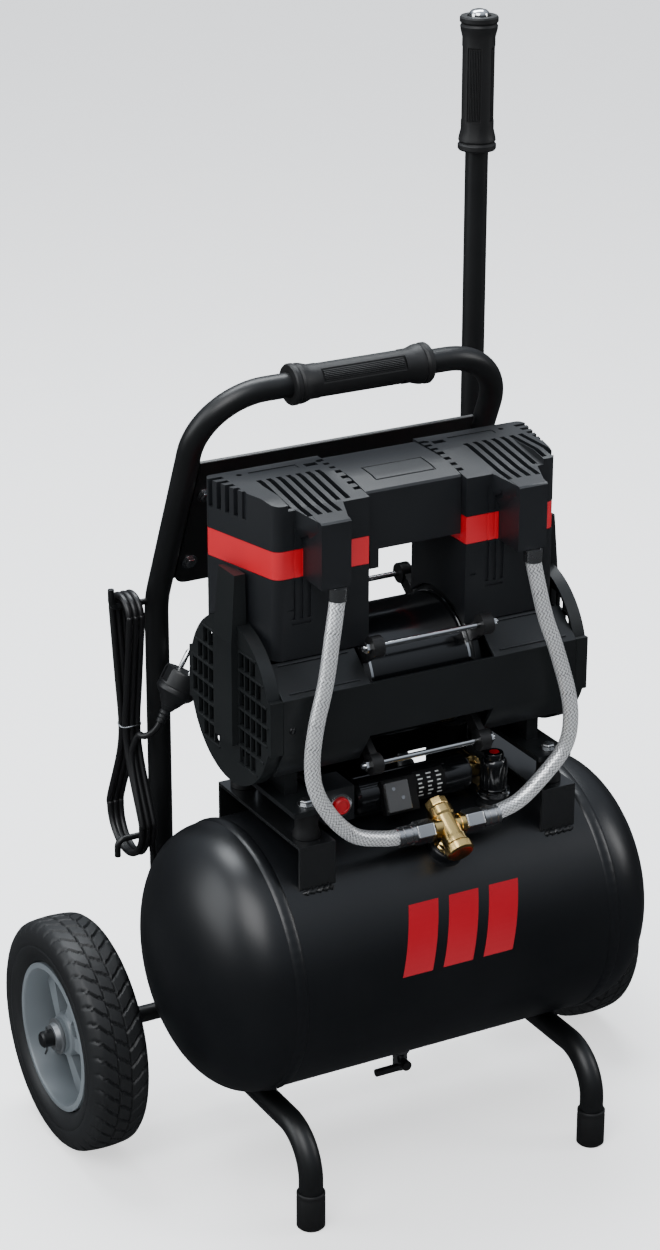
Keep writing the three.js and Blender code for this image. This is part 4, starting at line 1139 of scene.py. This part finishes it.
# ---- mains cord ------------------------------------------------------------------------
CORD_LEAD = [(-80, 8.3, 368), (-80, 26, 367.4), (-80.5, 44, 364.4), (-81, 62, 357.6), (-82, 80, 346.5),
             (-84, 97, 330.5), (-87, 112, 310), (-92, 124, 288), (-100, 133, 270), (-112, 139, 258.5),
             (-126, 141.5, 253.5), (-140, 142, 252), (-154, 142.5, 253), (-166, 143.5, 257),
             (-173, 144.5, 261.5)]
CORD_TAIL = [(-180, 153.9, 379.6), (-179, 151, 379.6), (-177.2, 147.6, 380.4), (-174.6, 144.4, 382.6),
             (-171.5, 141.4, 386.2), (-168.5, 139.6, 390.6), (-166.2, 139, 394.7)]
CORD_RADIUS = 3.1
HANK = {"y": 171, "low": 292, "low_radius": 34.6, "high": 492, "high_radius": 18.7, "waist": 385}


def hank_turns(turns=3):
    """Turns over the top hook and round the bottom, crossing near each other where the tie holds them."""
    points = []
    for turn in range(turns):
        x = -176.2 - 5.8 * turn
        start = 205 if turn == 0 else 217
        for a, b in arc(HANK["y"], HANK["low"], HANK["low_radius"], start, 165, 4):
            points.append((x, a, b))
        points += [(x, 160.5, 352), (x, 166.6, HANK["waist"]), (x, 160.6, 430)]
        for a, b in arc(HANK["y"], HANK["high"], HANK["high_radius"], 190, -10, 9):
            points.append((x, a, b))
        points += [(x, 181.4, 430), (x, 175.4, HANK["waist"]), (x, 181.5, 352)]
        low = arc(HANK["y"], HANK["low"], HANK["low_radius"], 15, -143, 9)
        for i, (a, b) in enumerate(low[:-1] if turn < turns - 1 else low):
            points.append((x - 5.8 * i / 9 * (turn < turns - 1), a, b))
    x = -187.8
    points += [(x, a, b) for a, b in arc(HANK["y"], HANK["low"], HANK["low_radius"], 200, 165, 3)]
    return [*points, (-186, 159.5, 352), (-182.5, 158, 372)]


def cord_curve():
    route = curve_through([*CORD_LEAD, *hank_turns(), *CORD_TAIL], 6)
    data = bpy.data.curves.new("mains_cord", "CURVE")
    data.dimensions = "3D"
    data.bevel_depth = CORD_RADIUS * MM
    data.bevel_resolution = 5
    data.use_fill_caps = True
    line = data.splines.new("POLY")
    line.points.add(len(route) - 1)
    for point, at in zip(line.points, route):
        point.co = (*((at + SHIFT) * MM), 1)
    line.use_smooth = True
    made = bpy.data.objects.new("mains_cord", data)
    bpy.context.scene.collection.objects.link(made)
    data.materials.append(CORD)
    length = sum((b - a).length for a, b in zip(route, route[1:])) * MM
    return made, length


def plug_place(shape):
    return moved(shape, Matrix.Translation((-166, 139, 395)) @ Matrix.Rotation(math.radians(30), 4, "Y"))


relief = [(0, 0.2), (4.2, 0.2), (4.4, 3), (3.8, 4), (4.8, 5), (4.8, 7), (4, 8), (5.2, 9), (5.2, 11),
          (4.4, 12), (5.8, 13.5), (8, 18), (0, 18)]
plug_body = [(0, 17), (8, 17), (10.5, 21), (12, 24), (16.5, 28), (18.4, 31), (18.4, 34), (17.8, 35.2),
             (18.4, 36.4), (18.4, 49), (17.4, 51.5), (0, 51.5)]
plug_object = to_object(plug_place(turned("z", plug_body, 0, 0, 64)))
for s in (-1, 1):
    combined(plug_object, plug_place(box(*sorted((14.6 * s, 20.6 * s)), -6, 6, 38, 60)))
plug = piece("mains_plug", plug_object, PLUG, ["plug"], bevel=0.8, segments=3)
plug_relief = piece("plug_relief", plug_place(turned("z", relief, 0, 0, 40)), PLUG)
pin = [(0, 51), (2.4, 51), (2.4, 68), (1.2, 70.5), (0, 70.5)]
pins = merged(*[plug_place(turned("z", pin, 0, y, 24)) for y in (-9.5, 9.5)])
plug_pins = piece("plug_pins", pins, CHROME)
clips = [plug_place(box(13.4 * s - 0.8, 13.4 * s + 0.8, -3, 3, 39, 52.4)) for s in (-1, 1)]
plug_clips = piece("plug_clips", merged(*clips), STEEL)
tie_path = [(-182 + 10.2 * math.cos(t), 171 + 9.6 * math.sin(t), 385 + 0.8 * math.sin(3 * t))
            for t in [2 * math.pi * i / 40 for i in range(41)]]
tie = piece("cord_tie", tube(tie_path, 0.8, 10), STEEL)
cord, cord_length = cord_curve()
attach(cord, ROOT)
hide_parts("cord_lead", "cord_hank", "cord_tail")


# ---- floor, light and camera ---------------------------------------------------------
floor_mesh = bpy.data.meshes.new("floor")
floor_mesh.from_pydata([(-15, -15, 0), (15, -15, 0), (15, 15, 0), (-15, 15, 0)], [], [(0, 1, 2, 3)])
floor = bpy.data.objects.new("floor", floor_mesh)
bpy.context.scene.collection.objects.link(floor)
floor_look = surface("pale_floor", (0.80, 0.80, 0.80), 0.8, tint=0.01, bump=0.0, grain=50)
floor_shader = floor_look.node_tree.nodes["Principled BSDF"]
floor_shader.inputs["Emission Color"].default_value = (1, 1, 1, 1)
floor_shader.inputs["Emission Strength"].default_value = 1.05
floor_mesh.materials.append(floor_look)
floor.visible_glossy = False


MIDDLE = (0, 0, 0.45)


def lamp(name, at, size, power, color=(1, 1, 1)):
    """A soft rectangular light that looks at the middle of the object."""
    data = bpy.data.lights.new(name, "AREA")
    data.shape = "RECTANGLE"
    data.size, data.size_y = size
    data.energy = power
    data.color = color
    made = bpy.data.objects.new(name, data)
    made.location = at
    made.rotation_euler = (Vector(MIDDLE) - Vector(at)).to_track_quat("-Z", "Y").to_euler()
    bpy.context.scene.collection.objects.link(made)


lamp("key_light", (-1.7, -1.5, 2.9), (2.2, 2.2), 95)
lamp("top_light", (0.2, 1.1, 3.0), (2.6, 1.2), 130, (0.93, 0.97, 1.0))
lamp("left_light", (-3.0, 0.8, 1.7), (2.0, 2.4), 60, (0.95, 0.98, 1.0))
lamp("right_light", (2.8, -1.4, 1.8), (0.9, 1.6), 30)
world = bpy.data.worlds.new("studio")
world.use_nodes = True
sky_nodes, sky_links = world.node_tree.nodes, world.node_tree.links
sky_place = sky_nodes.new("ShaderNodeTexCoord")
sky_axes = sky_nodes.new("ShaderNodeSeparateXYZ")
sky_links.new(sky_place.outputs["Generated"], sky_axes.inputs["Vector"])
sky_ramp = sky_nodes.new("ShaderNodeValToRGB")
sky_ramp.color_ramp.elements[0].position = 0.05
sky_ramp.color_ramp.elements[0].color = (0.05, 0.052, 0.055, 1)
sky_ramp.color_ramp.elements[1].position = 0.85
sky_ramp.color_ramp.elements[1].color = (0.80, 0.88, 1.0, 1)
sky_links.new(sky_axes.outputs["Z"], sky_ramp.inputs["Fac"])
sky_path = sky_nodes.new("ShaderNodeLightPath")
seen = mixed(world.node_tree, sky_path.outputs["Is Camera Ray"], sky_ramp.outputs["Color"],
             (0.75, 0.76, 0.77))
sky_links.new(seen, sky_nodes["Background"].inputs["Color"])
sky_nodes["Background"].inputs["Strength"].default_value = 0.9
bpy.context.scene.world = world

CAMERA_AT = Vector((-1.2759, -2.2578, 1.5374))
CAMERA_RIGHT = Vector((0.87706, -0.48038, 0.00165))
CAMERA_UP = Vector((0.17889, 0.32980, 0.92695))
camera_data = bpy.data.cameras.new("camera")
camera_data.sensor_width = 36
camera_data.lens = 89.95
camera_data.clip_end = 60
camera = bpy.data.objects.new("camera", camera_data)
right = CAMERA_RIGHT.normalized()
back = right.cross(CAMERA_UP).normalized()
up = back.cross(right)
camera.matrix_world = Matrix.Translation(CAMERA_AT) @ Matrix((right, up, back)).transposed().to_4x4()
bpy.context.scene.collection.objects.link(camera)
bpy.context.scene.camera = camera
